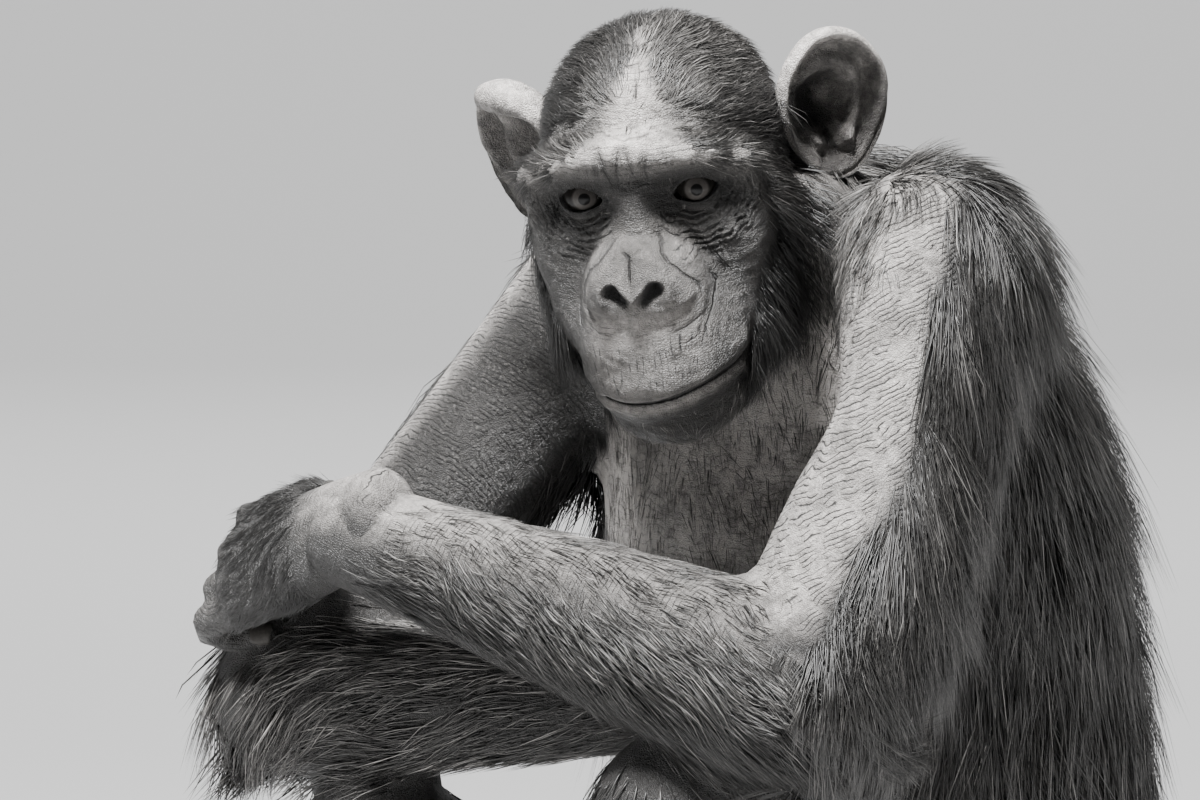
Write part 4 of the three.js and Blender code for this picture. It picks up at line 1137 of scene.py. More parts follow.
# The skin carries its shade, creases, stubble and folds point by point. Creases fade out where two
# parts of the body meet, so that none is cut off there.
skin_region = region_rows[[tree.find(p)[1] for p in skin_points]]
skin_out = read_rows(skin.data.vertices, "normal").astype(float)
skin_tone = marked_tone(skin_points, skin_region, skin_out)
crease_phase, crease_depth, crease_stray = creases(skin_points, skin_region)
skin_edges = read_rows(skin.data.edges, "vertices", np.int32, 2)
at_border = skin_edges[skin_region[skin_edges[:, 0], 0] != skin_region[skin_edges[:, 1], 0]].ravel()
faded = np.ones(len(skin_points))
faded[at_border] = 0
fade_step = 0.35
for _ in range(2):
    np.minimum.at(faded, skin_edges[:, 0], faded[skin_edges[:, 1]] + fade_step)
    np.minimum.at(faded, skin_edges[:, 1], faded[skin_edges[:, 0]] + fade_step)
write_attribute(skin.data, "tone", skin_tone)
write_attribute(skin.data, "crease", crease_phase)
write_attribute(skin.data, "crease_depth", crease_depth * faded)
write_attribute(skin.data, "stray", crease_stray)
write_attribute(skin.data, "stubble", stubble_of(skin_points, skin_region))
# Distance from the mouth's gap, where the skin is given painted shade.
face_across, face_forth, face_up = into_face(skin_points).T
lips_gap = np.abs(face_up - mouth_height(face_across))
lips_gap += 8 * smooth_step(np.abs(face_across - 6), 36, 44) + 30 * smooth_step(face_forth, -16, 4)
lips_gap += 30 * ~on(skin_region, "head")
write_attribute(skin.data, "lips_gap", np.minimum(lips_gap, 30))
fold, fold_depth = drawn_folds(face_across, face_up)
fold_depth = fold_depth * smooth_step(-face_forth, -20, 0) * on(skin_region, "head")
write_attribute(skin.data, "fold", np.clip(fold, -30, 30))
write_attribute(skin.data, "fold_depth", fold_depth)


def new_group(name, inputs, outputs):
    group = bpy.data.node_groups.new(name, "ShaderNodeTree")
    for socket, kind, default in inputs:
        made = group.interface.new_socket(socket, in_out="INPUT", socket_type=kind)
        if default is not None:
            made.default_value = default
    for socket, kind in outputs:
        group.interface.new_socket(socket, in_out="OUTPUT", socket_type=kind)
    return group, group.nodes.new("NodeGroupInput"), group.nodes.new("NodeGroupOutput")


def fill(socket, value):
    """Links a socket to another, or sets its value."""
    if hasattr(value, "is_output"):
        socket.id_data.links.new(value, socket)
    else:
        socket.default_value = value


def node(tree, kind, settings=None, **inputs):
    made = tree.nodes.new(kind)
    for key, value in (settings or {}).items():
        setattr(made, key, value)
    for key, value in inputs.items():
        fill(made.inputs[key.replace("_", " ")], value)
    return made


def maths(operation, *values, kind="ShaderNodeMath"):
    tree = next(value.id_data for value in values if hasattr(value, "is_output"))
    made = tree.nodes.new(kind)
    made.operation = operation
    for socket, value in zip(made.inputs, values):
        fill(socket, value)
    return made.outputs["Value" if operation == "DOT_PRODUCT" else 0]


def times(a, b):
    return maths("MULTIPLY", a, b)


def plus(a, b):
    return maths("ADD", a, b)


def less(a, b):
    return maths("SUBTRACT", a, b)


def stepped(value, low, high):
    """0 below the low value and 1 above the high one, with a soft step between."""
    settings = {"interpolation_type": "SMOOTHSTEP"}
    made = node(value.id_data, "ShaderNodeMapRange", settings, Value=value, From_Min=low, From_Max=high)
    return made.outputs["Result"]


def mixed(share, a, b):
    made = node(share.id_data, "ShaderNodeMix", {"data_type": "RGBA"})
    for socket, value in zip((made.inputs[0], made.inputs[6], made.inputs[7]), (share, a, b)):
        fill(socket, value)
    return made.outputs[2]


def object_place(tree):
    return node(tree, "ShaderNodeTexCoord").outputs["Object"]


def noise(place, scale, detail=2.0, roughness=0.5):
    grain = {"Vector": place, "Scale": scale, "Detail": detail, "Roughness": roughness}
    return node(place.id_data, "ShaderNodeTexNoise", **grain).outputs["Fac"]


def drawn(tree, name):
    """The value that a mesh carries under that name at each of its points."""
    return node(tree, "ShaderNodeAttribute", {"attribute_name": name}).outputs["Fac"]


# Fine hide
# The grain of bare chimpanzee hide: pores, small lumps, creases that run in the way the mesh says,
# and specks where pale stubble grows. Painted shade darkens the mottle along each crease line. It is
# one effect, used by every bare part of the skin.
hide, hide_in, hide_out = new_group(
    "fine_hide",
    [
        ("Crease", "NodeSocketFloat", 0),
        ("Crease Depth", "NodeSocketFloat", 0.5),
        ("Stray", "NodeSocketFloat", 1),
        ("Pore Size", "NodeSocketFloat", 900),
    ],
    [("Height", "NodeSocketFloat"), ("Mottle And Crease Shade", "NodeSocketFloat"), ("Speck", "NodeSocketFloat")],
)
place = object_place(hide)
strayed = plus(times(noise(place, 75.0, 3.0), 2.4), times(noise(place, 28.0), 4.5))
strayed = times(strayed, hide_in.outputs["Stray"])
phase = plus(hide_in.outputs["Crease"], strayed)
wave = maths("ABSOLUTE", maths("SINE", times(phase, math.pi)))
strength = times(hide_in.outputs["Crease Depth"], stepped(noise(place, 120.0), 0.38, 0.56))
folds = times(maths("POWER", wave, 0.5), strength)
to_edge = {"feature": "DISTANCE_TO_EDGE"}
cells = node(hide, "ShaderNodeTexVoronoi", to_edge, Vector=place, Scale=hide_in.outputs["Pore Size"])
pores = times(stepped(cells.outputs["Distance"], 0.0, 0.3), 0.4)
fine = noise(place, 700.0, 4.0, 0.7)
fill(hide_out.inputs["Height"], plus(plus(folds, pores), times(fine, 0.9)))
# Painted shade: the mottle, and so the colour, is darkened along each crease line.
painted_crease_shade = times(less(1.0, stepped(wave, 0.03, 0.45)), strength)
fill(hide_out.inputs["Mottle And Crease Shade"], less(noise(place, 170.0, 7.0, 0.8), times(painted_crease_shade, 0.85)))
specks = stepped(noise(place, 620.0, 2.0, 0.6), 0.52, 0.68)
fill(hide_out.inputs["Speck"], times(specks, stepped(noise(place, 60.0), 0.3, 0.6)))


def new_material(name):
    material = bpy.data.materials.new(name)
    material.use_nodes = True
    tree = material.node_tree
    return material, tree, tree.nodes["Principled BSDF"]


def finish(shader, colour, rough, height=None, strength=0.0, distance=0.0):
    """Sets a material's colour and roughness, and its bump where it has one."""
    fill(shader.inputs["Base Color"], colour)
    fill(shader.inputs["Roughness"], rough)
    if height is not None:
        bump = node(shader.id_data, "ShaderNodeBump", Height=height, Strength=strength, Distance=distance)
        fill(shader.inputs["Normal"], bump.outputs["Normal"])


# Bare skin
# Grey-brown hide, nearly black under the coat and pale on the parting, the muzzle, the ears and the
# insides of the arms, mottled, with pale stubble. Painted light is laid in its tone: a highlight along
# the brow ridge and on the upper sides of the arms, and painted shade in the folds and creases, the eye
# sockets, the nostrils and the mouth's gap. It stands for all the flesh nodes.
skin_finish, tree, shader = new_material("bare_skin")
hide_values = {
    "Crease": drawn(tree, "crease"),
    "Crease_Depth": drawn(tree, "crease_depth"),
    "Stray": drawn(tree, "stray"),
}
surface = node(tree, "ShaderNodeGroup", {"node_tree": hide}, **hide_values).outputs
# The mottle, with the creases' painted shade in it, darkens the tone.
blotches_and_crease_shade = maths("MAXIMUM", 0.08, less(times(surface["Mottle And Crease Shade"], 2.7), 0.35))
light = times(drawn(tree, "tone"), blotches_and_crease_shade)
light = plus(light, times(surface["Speck"], times(drawn(tree, "stubble"), 0.18)))
# Painted shade: the mouth's gap is darkened almost to black.
painted_mouth_gap_shade = plus(0.12, times(stepped(drawn(tree, "lips_gap"), 0.5, 1.7), 0.88))
light = maths("POWER", times(light, painted_mouth_gap_shade), 1.3)
# Painted shade: the colour is darkened along the drawn folds of the face, which the bump also presses in.
ragged = less(noise(object_place(tree), 240.0, 3.0), 0.5)
beside_fold = maths("ABSOLUTE", plus(drawn(tree, "fold"), ragged))
folded = times(less(1.0, stepped(beside_fold, 0.1, 0.75)), drawn(tree, "fold_depth"))
light = times(light, less(1.0, times(folded, 0.9)))
darkest_skin, palest_skin = (0.005, 0.0046, 0.0043, 1), (0.47, 0.443, 0.42, 1)
rough = less(0.62, times(surface["Mottle And Crease Shade"], 0.28))
height = less(surface["Height"], times(folded, 1.5))
finish(shader, mixed(light, darkest_skin, palest_skin), rough, height, 0.9, 0.0014)
skin.data.materials.clear()
skin.data.materials.append(skin_finish)
for polygon in skin.data.polygons:
    polygon.material_index = 0
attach(skin, "root")
flesh = [name for name in frame["nodes"] if not name.endswith("eye")]
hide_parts(*flesh)


# Nails
# Dark arched nails on the ends of the fingers and toes, a little proud of the skin, with fine
# lengthwise ridges.
nails = []
nail_thickness, nail_sweep = 0.0011, math.radians(52)
for tip, way, top, radius in finger_tips:
    way = unit(way)
    top = unit(top - way * dots(top, way))
    beside = np.cross(way, top)
    bpy.ops.object.select_all(action="DESELECT")
    bpy.ops.mesh.primitive_grid_add(x_subdivisions=8, y_subdivisions=8, size=2)
    nail = bpy.context.object
    for vertex in nail.data.vertices:
        across, along = vertex.co.x, vertex.co.y
        swing = nail_sweep * across * (1 - 0.25 * max(0, -along))
        arch = radius * (1.05 - 0.2 * max(0, along) ** 2)
        place = tip + way * radius * (0.1 + 0.75 * along * (1 - 0.18 * across**2))
        place = place + beside * arch * math.sin(swing) + top * arch * math.cos(swing)
        vertex.co = place * 0.001
    reshape_by(nail, "SOLIDIFY", thickness=nail_thickness, offset=0)
    nails.append(nail)
nails = joined("nails", nails)
faces_out(nails)
bpy.ops.object.shade_smooth()
nail_finish, tree, shader = new_material("nail")
streaks = noise(object_place(tree), 700.0, 3.0)
nail_colour = mixed(streaks, (0.01, 0.009, 0.008, 1), (0.05, 0.046, 0.042, 1))
finish(shader, nail_colour, plus(0.42, times(streaks, 0.25)), streaks, 0.3, 0.0003)
shader.inputs["Specular IOR Level"].default_value = 0.2
nails.data.materials.append(nail_finish)
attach(nails, "root")


# Eyes
# Round eyeballs behind the lids: a dark brown white, a dull grey-brown iris and a small black pupil
# under a clear bulging front. Both look the way that the face is turned to, a little downwards.
sight = np.array([math.sin(math.radians(50)), -math.cos(math.radians(50)), -0.2])
bulge, bulge_start = 0.0011, 0.82
white_edge, iris_middle, pupil_edge = (0.765, 0.79), (0.79, 0.87), (0.956, 0.968)
white_brown, pupil_black = (0.006, 0.0054, 0.0048, 1), (0.004, 0.004, 0.004, 1)
iris_dark, iris_light = (0.012, 0.011, 0.01, 1), (0.05, 0.046, 0.043, 1)
for side, centre in eye_places.items():
    bpy.ops.object.select_all(action="DESELECT")
    middle = out_of_face(centre)
    bpy.ops.mesh.primitive_uv_sphere_add(segments=48, ring_count=32, radius=0.001 * eye_radius)
    ball = bpy.context.object
    ball.name = side + "_eyeball"
    way = Vector(sight).normalized()
    turn_to = Vector((0, 0, 1)).rotation_difference(way)
    for vertex in ball.data.vertices:
        vertex.co = turn_to @ vertex.co
        ahead = max(0.0, vertex.co.normalized().dot(way))
        vertex.co += way * bulge * max(0.0, (ahead - bulge_start) / 0.18) ** 1.5
        vertex.co += Vector(middle * 0.001)
    bpy.ops.object.shade_smooth()
    eye_finish, tree, shader = new_material(side + "_eye")
    place = object_place(tree)
    offset = maths("SUBTRACT", place, tuple(middle * 0.001), kind="ShaderNodeVectorMath")
    direction = maths("NORMALIZE", offset, kind="ShaderNodeVectorMath")
    facing = maths("DOT_PRODUCT", direction, tuple(way), kind="ShaderNodeVectorMath")
    streaks = noise(place, 900.0, 3.0)
    wobble = plus(facing, times(less(streaks, 0.5), 0.012))
    towards_pupil = times(stepped(wobble, *iris_middle), plus(0.55, times(streaks, 0.8)))
    iris = mixed(towards_pupil, iris_dark, iris_light)
    colour = mixed(stepped(wobble, *white_edge), white_brown, iris)
    colour = mixed(stepped(wobble, *pupil_edge), colour, pupil_black)
    finish(shader, colour, 0.5, noise(place, 500.0), 0.05, 0.0002)
    shader.inputs["Specular IOR Level"].default_value = 0.03
    shader.inputs["Coat Weight"].default_value = 0.2
    shader.inputs["Coat Roughness"].default_value = 0.03
    ball.data.materials.append(eye_finish)
    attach(ball, "root")
    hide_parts(side + "_eye")


# The coat
# Straight black hair with paler tips, in thin pointed tufts rooted in the skin: long down the back
# and along the forearms to the elbows, swept back on the crown, in whiskers before the ears, and
# short and sparse on the chest, the shoulders, the hands and the chin.
skin.data.calc_loop_triangles()
triangles = read_rows(skin.data.loop_triangles, "vertices", np.int32)
corner_a, corner_b, corner_c = (skin_points[triangles[:, i]] for i in range(3))
face_middle = (corner_a + corner_b + corner_c) / 3
face_cross = np.cross(corner_b - corner_a, corner_c - corner_a)
face_area = 0.5 * np.linalg.norm(face_cross, axis=-1)
face_out = unit(skin_out[triangles].sum(1))
face_region = skin_region[triangles[:, 0]]
face_tone = skin_tone[triangles].mean(1)
gravity = np.array([0, 0, -1.0])


def hair_fields():
    """For each face of the skin: how thickly hair grows there, its length, lie, lift and tone."""
    place, line = face_region[:, 1], face_region[:, 3:6]
    count = len(face_middle)
    amount = np.ones(count)
    length = np.full(count, 30.0)
    lie = np.tile(gravity, (count, 1))
    lift = np.full(count, 0.22)
    tone = face_tone * 0.45 + 0.04

    def give(names, new_amount, new_length, new_lie, new_lift, new_tone):
        mask = on(face_region, *names.split(", "))
        fields = ((amount, new_amount), (length, new_length), (lift, new_lift), (tone, new_tone))
        for field, value in fields:
            field[mask] = np.broadcast_to(value, count)[mask]
        lie[mask] = np.broadcast_to(new_lie, (count, 3))[mask]

    # Long hair on the back and the flanks, short and paler on the chest, the paleness partly its own
    # colour and partly painted light that lifts the shade under the head
    back = smooth_step(face_out[:, 1] + 0.75 * np.abs(face_out[:, 0]), -0.3, 0.25)
    give(
        "torso",
        0.6 + 0.55 * back,
        17 + 63 * back * (1 - 0.3 * smooth_step(place, 0.75, 1)),
        gravity + [0.12, 0.06, 0],
        0.08 + 0.36 * back,
        0.08 + 0.22 * (1 - back),
    )
    neck_back = smooth_step(face_out[:, 1], -0.3, 0.5)
    neck_tone = 0.3 - 0.17 * neck_back
    give("neck", 0.6 + 0.5 * neck_back, 18 + 24 * neck_back, gravity + [0, 0.3, 0], 0.15, neck_tone)
    # Upper arms: bare inside, long hair outside from a border that runs down them
    outward = dots(face_out, shoulder_outward) + 0.06 * waves(face_middle, 26, 61)
    border = hair_border(place)
    outer = smooth_step(outward, border - 0.06, border + 0.1)
    over = smooth_step(face_out[:, 2], 0.6, 0.9) * (place < 0.1)
    outer = np.maximum(outer, 0.7 * over)
    by_neck = smooth_step(-outward, 0.1, 0.7) * falling(place, 0.05, 0.34)
    long_hair = (66 - 40 * over) * outer * (1 - 0.45 * smooth_step(place, 0.55, 1.0))
    give(
        "left upper arm",
        0.02 + 1.1 * outer + 0.7 * smooth_step(place, 0.92, 1.0) + 0.5 * by_neck,
        6 + long_hair + 8 * smooth_step(place, 0.8, 1.0) + 16 * by_neck,
        (0.5 * line + gravity) * (1 - over[:, None]) + np.array([0.2, 0.3, -0.2]) * (0.3 + over[:, None]),
        0.05 + 0.07 * outer + 0.25 * by_neck,
        0.08 + 0.1 * by_neck,
    )
    # Forearm that lies on top: long hair along its lower side, swept to the elbow, and paler hair on its
    # upper side as painted light
    low = smooth_step(dots(face_out, unit([0.4, 0.2, -1])), -0.6, 0.5)
    give(
        "left forearm",
        (0.28 + 0.85 * low) * falling(place, 0.74, 0.93),
        10 + 30 * (0.35 + 0.65 * low) * (0.25 + 0.75 * falling(place, 0.4, 1)),
        -line + [0.1, 0.05, -0.42],
        0.13 + 0.1 * low,
        0.07 + 0.1 * (1 - low),
    )
    # The right arm, with long hair hanging from the armpit; the forearm's hair is paler where it faces up,
    # as painted light
    outer = smooth_step(dots(face_out, unit([-0.9, 0.35, -0.2])), -0.05, 0.7)
    under = smooth_step(-face_out[:, 2], 0.1, 0.7) * falling(place, 0.25, 0.6)
    give(
        "right upper arm",
        0.12 + 1.1 * outer + 1.2 * under,
        6 + 46 * outer + 46 * under * (1 - outer),
        (line + [-0.2, 0.1, -0.3]) * (1 - under[:, None]) + gravity * under[:, None],
        0.08 + 0.2 * outer + 0.3 * under,
        0.09 - 0.03 * under,
    )
    at_elbow = falling(place, 0.02, 0.36)[:, None]
    give(
        "right forearm",
        1.1,
        20 + 16 * falling(place, 0.3, 1),
        (-line + [0, 0, -0.12]) * (1 - at_elbow) + at_elbow * (gravity + [-0.35, -0.4, 0]),
        0.13,
        0.15 + 0.1 * smooth_step(face_out[:, 2], 0, 0.8),
    )
    # Legs, backs of the hands, insteps and ears
    give("left thigh, right thigh", 0.9, 30.0, -0.2 * line + gravity + [0, 0.4, 0], 0.2, 0.08)
    give("left shank, right shank", 0.9, 26.0, line + [0, 0.25, 0], 0.2, 0.08)
    for name in ("left hand", "right hand"):
        wrist = joints[name.split()[0] + " wrist"]
        knuckles = joints[name.split()[0] + " knuckles"]
        share = share_between(face_middle, wrist, knuckles)
        hairy = smooth_step(share, 0.1, 0.4) * falling(share, 0.85, 1.08)
        give(name, hairy, 19 - 9 * np.clip(share, 0, 1), unit(knuckles - wrist) + [0, 0, -0.9], 0.14, 0.045)
    hairy = smooth_step(face_out[:, 2], 0.1, 0.6) * smooth_step(face_middle[:, 1], -420, -340)
    give("left foot, right foot", 0.6 * hairy, 12.0, np.array([0, -1, -0.2]), 0.16, 0.12)
    inner = falling(place, 0.3, 0.85)
    give("left ear, right ear", 0.07 + 0.12 * inner, 4.0 + 4 * inner, gravity + [0, -0.3, 0.6], 0.3, 0.25)
    # The head: a ragged hairline, a bare parting, whiskers, and fuzz on the cheeks and chin
    p = into_face(face_middle)
    x, y, z = p.T
    out = face_out @ face_axes
    ahead = smooth_step(-y, -36, -8)
    from_brow = z - brow_height(x)
    ragged = 3 * waves(p, 11, 41)
    lowered = 11 * smooth_step(np.abs(x - 3), 14, 32)
    above_brow = smooth_step(from_brow + ragged + lowered, 9, 16)
    parting = parting_width(z)
    bald = falling(np.abs(x - 4) + ragged, parting - 7, parting + 4) * falling(y, 45, 75)
    edge = np.interp(-z, [-25, -10, 0, 25, 45, 60, 75, 100, 130], [4, 4, 7, 8, 0, -9, -16, -8, 4])
    side_hair = smooth_step(y + ragged, edge - 7, edge + 5)
    growth = np.maximum(side_hair * (1 - above_brow), above_brow * (1 - 0.93 * bald))
    ones = np.ones(count)
    aside = 0.85 * np.sign(x - 5) * smooth_step(np.abs(x - 5), 2, 30)
    swept = np.stack([aside, ones, -0.1 * ones], -1)
    temple = np.stack([0.15 * np.sign(x), ones, -0.75 * ones], -1)
    forward = 0.35 - 0.8 * smooth_step(-z, 35, 75)
    whisker = np.stack([0.35 * np.sign(x), forward, -ones], -1)
    high = smooth_step(z, 5, 35)[:, None]
    cheek = smooth_step(-z, 0, 32)[:, None]
    way = swept * high + (temple * (1 - cheek) + whisker * cheek) * (1 - high)
    cheek = cheek[:, 0] * side_hair
    on_side = smooth_step(-z, -12, 14) * side_hair * smooth_step(np.abs(out[:, 0]), 0.35, 0.8)
    on_side = on_side * np.where(x > 0, 1, 0.3)
    jaw = smooth_step(-(z - mouth_height(x)), 7, 16) * ahead
    fuzz = 0.3 * ahead * smooth_step(np.abs(x - 3), 30, 50) * smooth_step(-z, 5, 30)
    fuzz = np.maximum(fuzz, 0.55 * smooth_step(y, edge - 34, edge - 5) * ahead)
    growth = np.maximum(growth, 0.5 * jaw) + 0.9 * on_side
    growth = np.maximum(growth, fuzz * (1 - above_brow))
    beard = np.maximum(cheek, on_side)
    size = 18 + 8 * smooth_step(y, 20, 70) + 22 * beard * (1 - 0.6 * smooth_step(-z, 45, 75))
    size = np.where(jaw > 0.3, 7, size)
    short = (side_hair < 0.6) & (above_brow < 0.3) & (jaw <= 0.3)
    size = np.where(short, 4 + 24 * side_hair, size)
    shade = np.where(jaw > 0.3, 0.28, 0.19)
    shade = shade - 0.09 * smooth_step(np.abs(x - 3), 18, 34) * falling(z, 40, 60)
    raised = 0.1 + 0.14 * side_hair * falling(z, 10, 30) + 0.55 * on_side + 0.15 * (jaw > 0.3)
    left_shade = shade - 0.1 * cheek - 0.02 * side_hair * falling(z, 10, 30)
    shade = np.where(x > 0, left_shade, shade - 0.12 * side_hair)
    give("head", growth, size, way @ face_axes.T, raised, shade)
    lie[:] = lie - face_out * dots(lie, face_out)[:, None]
    return np.clip(amount, 0, 2), np.maximum(length, 2), unit(lie), lift, np.clip(tone, 0.02, 1)


hair_amount, hair_length, hair_lie, hair_lift, hair_tone = hair_fields()


# Tufts
# Each tuft is a thin three-sided spike of hair that bends with its neighbours, dark at the root and
# paler to its tip. It carries the shade of the place that it grows from, and its spot on an unwrap
# of the body: a grid of squares, one for each part.
unwrap_columns = 4
tuft_patch = 0.0014
clump_of = 14
droop = 0.25
pale_share = 0.16
rings_along = {1: (0, 0.3, 1), 2: (0, 0.24, 0.62, 1)}


def unwrapped(region):
    number = region[:, 0].astype(int)
    across = (region[:, 2] / (2 * np.pi)) % 1
    up = np.clip((region[:, 1] + 1) / 3, 0, 1)
    up = np.where(number >= region_names.index("head"), np.clip(region[:, 1], 0, 1), up)
    cell = 1 / unwrap_columns
    u = (number % unwrap_columns + 0.03 + 0.94 * across) * cell
    v = (number // unwrap_columns + 0.03 + 0.94 * up) * cell / 1.25
    return np.stack([u, v], -1)


def tufts(name, regions, count, width, stations, seed, bias=None):
    """One coat piece: that many tufts over those parts of the body."""
    draw = np.random.default_rng(seed)
    weight = np.where(on(face_region, *regions), hair_amount * face_area, 0)
    if bias is not None:
        weight = weight * bias(face_middle, face_out)
    # Roots, more of them where hair grows thickly, and the way and length of each tuft
    pick = np.searchsorted(np.cumsum(weight) / weight.sum(), draw.random(count))
    pick = np.minimum(pick, len(weight) - 1)
    a, b = draw.random((2, count))
    flip = a + b > 1
    a, b = np.where(flip, 1 - a, a), np.where(flip, 1 - b, b)
    root = corner_a[pick] + (corner_b - corner_a)[pick] * a[:, None]
    root = root + (corner_c - corner_a)[pick] * b[:, None]
    out = face_out[pick]
    wander = waves(root, 45, seed + 1)[:, None] * np.cross(out, hair_lie[pick])
    way = unit(hair_lie[pick] + 0.3 * wander + 0.13 * draw.normal(size=(count, 3)))
    way = unit(way - out * dots(way, out)[:, None])
    size = hair_length[pick] * draw.uniform(0.6, 1.25, count)
    raised = hair_lift[pick] * draw.uniform(0.4, 1.5, count)
    sway = np.cross(out, way) * draw.normal(0, 0.1, count)[:, None]
    hang = gravity * droop * smooth_step(size, 15, 50)[:, None] * 0.5
    half = 0.5 * width * draw.uniform(0.6, 1.3, count) * np.clip(0.55 + size / 60, 0.5, 1.3)
    # Each tuft bends down to the skin and under its own weight, and leans to its clump's leader
    shares = np.array(rings_along[stations])
    rings = []
    for share in shares:
        bent = way * share + out * (raised * (share - 0.5 * share**2))[:, None] + (sway + hang) * share**2
        wave = np.sin(2 * np.pi * (root @ np.array([0.011, 0.017, 0.023]) + share * 1.2)) * 0.03 * share
        bent = bent + np.cross(out, way) * wave[:, None]
        rings.append(root - out * 0.5 * (1 - share) + bent * size[:, None])
    guides = np.arange(0, count, clump_of)
    guide_tree = KDTree(len(guides))
    for i, guide in enumerate(guides):
        guide_tree.insert(root[guide], guide)
    guide_tree.balance()
    leader = np.array([guide_tree.find(spot)[1] for spot in root])
    for share, ring in zip(shares, rings):
        ring += (ring[leader] - ring) * 0.5 * share**1.5
    # A point at the root, rings of three points that taper, and a point at the tip
    verts = np.empty((count, stations * 3 + 2, 3))
    verts[:, 0] = rings[0]
    for i in range(1, stations + 1):
        ahead = unit(rings[i + 1] - rings[i - 1])
        side = unit(np.cross(ahead, out))
        up = np.cross(side, ahead)
        taper = (1 - 0.7 * ((shares[i] - shares[1]) / (1 - shares[1])) ** 1.2) * half
        flat = 0.5 * taper
        base = 3 * i - 2
        verts[:, base] = rings[i] - side * taper[:, None] - up * (0.5 * flat)[:, None]
        verts[:, base + 1] = rings[i] + side * taper[:, None] - up * (0.5 * flat)[:, None]
        verts[:, base + 2] = rings[i] + up * flat[:, None]
    verts[:, -1] = rings[-1]
    verts[..., 2] = np.maximum(verts[..., 2], 0.4)
    last = 3 * stations + 1
    shape = [(0, 1 + j, 1 + (j + 1) % 3) for j in range(3)]
    for i in range(stations - 1):
        for j in range(3):
            p, q = 1 + 3 * i + j, 1 + 3 * i + (j + 1) % 3
            shape += [(p, p + 3, q), (q, p + 3, q + 3)]
    shape += [(last - 3 + j, last, last - 3 + (j + 1) % 3) for j in range(3)]
    shape = np.array(shape)
    each = stations * 3 + 2
    faces = (shape[None] + (np.arange(count) * each)[:, None, None]).reshape(-1, 3)
    mesh = bpy.data.meshes.new(name)
    mesh.vertices.add(count * each)
    mesh.vertices.foreach_set("co", (verts * 0.001).astype(np.float32).ravel())
    mesh.loops.add(faces.size)
    mesh.loops.foreach_set("vertex_index", faces.astype(np.int32).ravel())
    mesh.polygons.add(len(faces))
    mesh.polygons.foreach_set("loop_start", np.arange(0, faces.size, 3, dtype=np.int32))
    mesh.polygons.foreach_set("loop_total", np.full(len(faces), 3, dtype=np.int32))
    mesh.update(calc_edges=True)
    # The tuft's small patch on the unwrap, and its shade from root to tip
    place = unwrapped(face_region[pick])
    patch = np.empty((count, each, 2))
    patch[:, 0] = place - [0, tuft_patch]
    for i in range(1, stations + 1):
        for j, across in enumerate((-tuft_patch, tuft_patch, 0.0)):
            patch[:, 3 * i - 2 + j] = place + [across, -tuft_patch + 2 * tuft_patch * shares[i]]
    patch[:, -1] = place + [0, tuft_patch]
    layer = mesh.uv_layers.new(name="OFBake")
    layer.data.foreach_set("uv", patch.reshape(-1, 2)[faces.ravel()].astype(np.float32).ravel())
    reach_share = np.concatenate([[0.0], np.repeat(shares[1:-1], 3), [1.0]])
    write_attribute(mesh, "reach", np.tile(reach_share, count))
    pale = draw.random(count) < pale_share
    paler = 0.4 * pale * draw.random(count) * np.clip(hair_tone[pick] / 0.14, 0.2, 1)
    tones = np.clip(hair_tone[pick] * draw.lognormal(0, 0.6, count) + paler, 0.01, 1)
    write_attribute(mesh, "tone", np.repeat(tones, each))
    coat = in_scene(name, mesh)
    coat.data.materials.append(hair_finish)
    mesh.shade_smooth()
    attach(coat, "root")
    return coat


hair_finish, tree, shader = new_material("hair")
locks = noise(object_place(tree), 70.0, 4.0)
light = times(drawn(tree, "tone"), plus(0.45, times(drawn(tree, "reach"), 0.75)))
light = maths("POWER", times(light, plus(0.3, times(locks, 1.4))), 1.35)
darkest_hair, palest_hair = (0.004, 0.0037, 0.0034, 1), (0.45, 0.43, 0.41, 1)
finish(shader, mixed(light, darkest_hair, palest_hair), plus(0.34, times(locks, 0.2)))


# Where each coat piece has most of its hair, so that the pieces pass softly into one another
def on_back(p, out):
    return smooth_step(out[:, 1], -0.5, 0.1)


def on_flank(p, out):
    return smooth_step(out[:, 0], -0.1, 0.4) * (0.35 + 0.65 * smooth_step(out[:, 1], -0.8, 0))


def on_chest(p, out):
    return 0.1 + smooth_step(-out[:, 1], -0.2, 0.5)


def on_crown(p, out):
    return smooth_step(into_face(p)[:, 2], -5, 12)


def below_crown(p, out):
    return falling(into_face(p)[:, 2], -5, 12)


def ears_and_front(p, out):
    across, forth, _ = into_face(p).T
    return 1 - smooth_step(forth, -10, 30) * (np.abs(across) < 66)


both_legs = ["left thigh", "right thigh", "left shank", "right shank", "left foot", "right foot"]
tufts("coat_back", ["torso"], count=12000, width=0.9, stations=2, seed=101, bias=on_back)
tufts("coat_back_side", ["torso"], count=16000, width=0.75, stations=2, seed=102, bias=on_flank)
tufts("coat_chest", ["torso", "neck"], count=18000, width=0.5, stations=1, seed=103, bias=on_chest)
tufts("coat_left_upper_arm", ["left upper arm"], count=16000, width=0.55, stations=2, seed=104)
tufts("coat_left_forearm", ["left forearm"], count=16000, width=0.55, stations=2, seed=105)
tufts("coat_right_arm", ["right upper arm", "right forearm"], count=12000, width=0.65, stations=2, seed=106)
tufts("coat_legs", both_legs, count=8000, width=1.1, stations=2, seed=107)
tufts("coat_crown", ["head"], count=14000, width=0.5, stations=2, seed=108, bias=on_crown)
tufts("coat_whiskers", ["head", "neck"], count=14000, width=0.5, stations=2, seed=109, bias=below_crown)
ears_and_head = ["left ear", "right ear", "head"]
tufts("coat_ears_and_chin", ears_and_head, count=8000, width=0.35, stations=1, seed=111, bias=ears_and_front)
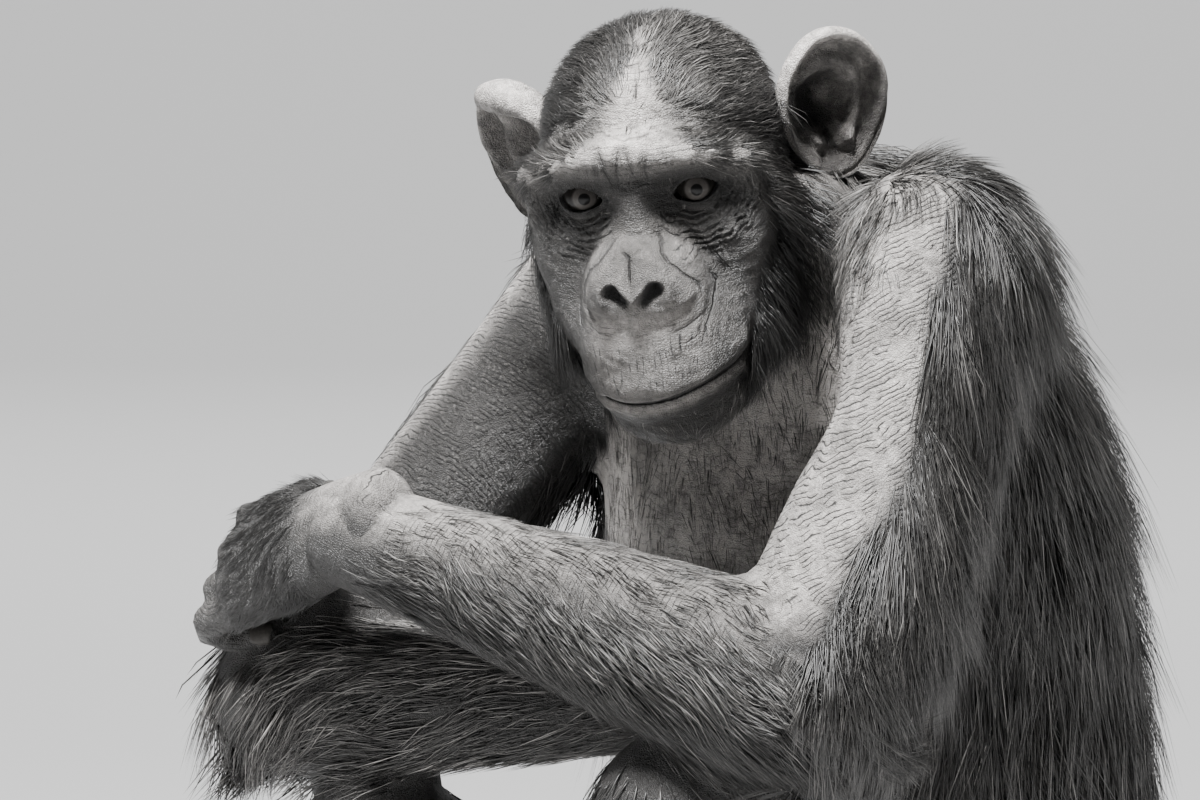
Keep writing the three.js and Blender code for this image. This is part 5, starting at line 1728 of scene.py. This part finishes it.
tufts("coat_hands", ["left hand", "right hand"], count=8000, width=0.5, stations=1, seed=110)


# Camera
# The camera stands before the animal and to its left, level with the head that is turned to it. Its
# lens is long, so that the near arm isn't enlarged, and the folded arms fill the lower half.
head_point = Vector((0.03, -0.15, 0.6))
azimuth, elevation = math.radians(50), math.radians(2)
camera_distance = 3.6
camera_data = bpy.data.cameras.new("camera")
camera = in_scene("camera", camera_data)
level = math.cos(elevation)
back = Vector((math.sin(azimuth) * level, -math.cos(azimuth) * level, math.sin(elevation)))
right = Vector((math.cos(azimuth), math.sin(azimuth), 0))
up = back.cross(right)
camera.location = head_point + back * camera_distance
aim = head_point - right * 0.025 - up * 0.0825
camera.rotation_euler = (aim - camera.location).to_track_quat("-Z", "Y").to_euler()
camera_data.lens = 216
camera_data.sensor_width = 36
bpy.context.scene.camera = camera


# Studio
# A matt pale floor sweeps up into a backdrop far behind the animal, under one large soft lamp
# overhead, one that lights the backdrop, and a little even light from all round.
floor_front, floor_end, bend_radius, wall_top, half_breadth = -14.0, 10.0, 5.5, 19.0, 20.0
away = -back.copy()
away.z = 0
away.normalize()
across = Vector((-away.y, away.x, 0))
sweep_line = [(floor_front, 0.0), (floor_end, 0.0)]
for step in range(1, 13):
    bend = math.radians(90 * step / 12)
    sweep_line.append((floor_end + bend_radius * math.sin(bend), bend_radius * (1 - math.cos(bend))))
sweep_line.append((floor_end + bend_radius, wall_top))
corners = []
for reach_out, rise in sweep_line:
    for sideways in (-half_breadth, half_breadth):
        corner = away * reach_out + across * sideways
        corners.append((corner.x * 1000, corner.y * 1000, rise * 1000))
sheets = [(2 * i, 2 * i + 1, 2 * i + 3, 2 * i + 2) for i in range(len(sweep_line) - 1)]
floor = new_piece("floor", corners, sheets)
select_only(floor)
bpy.ops.object.shade_smooth()
floor_finish, tree, shader = new_material("pale_floor")
finish(shader, (0.66, 0.66, 0.66, 1), 0.9)
floor.data.materials.append(floor_finish)


def lamp(name, place, facing, size, energy):
    lamp_data = bpy.data.lights.new(name, "AREA")
    lamp_data.energy = energy
    lamp_data.size = size
    made = in_scene(name, lamp_data)
    made.location = place
    made.rotation_euler = facing.to_track_quat("-Z", "Y").to_euler()


over = Vector((0, 0, 0.85)) + back * 0.34 - right * 0.16
lamp("overhead", Vector((0.05, -0.1, 0.45)) + over.normalized() * 2.3, -over, 0.6, 420)
lamp("backdrop_glow", away * 4.0 + Vector((0, 0, 8.0)), away - Vector((0, 0, 0.45)), 6.6, 1600)
world = bpy.data.worlds.new("studio")
bpy.context.scene.world = world
world.use_nodes = True
background = world.node_tree.nodes["Background"]
background.inputs["Color"].default_value = (0.8, 0.8, 0.8, 1)
background.inputs["Strength"].default_value = 0.06
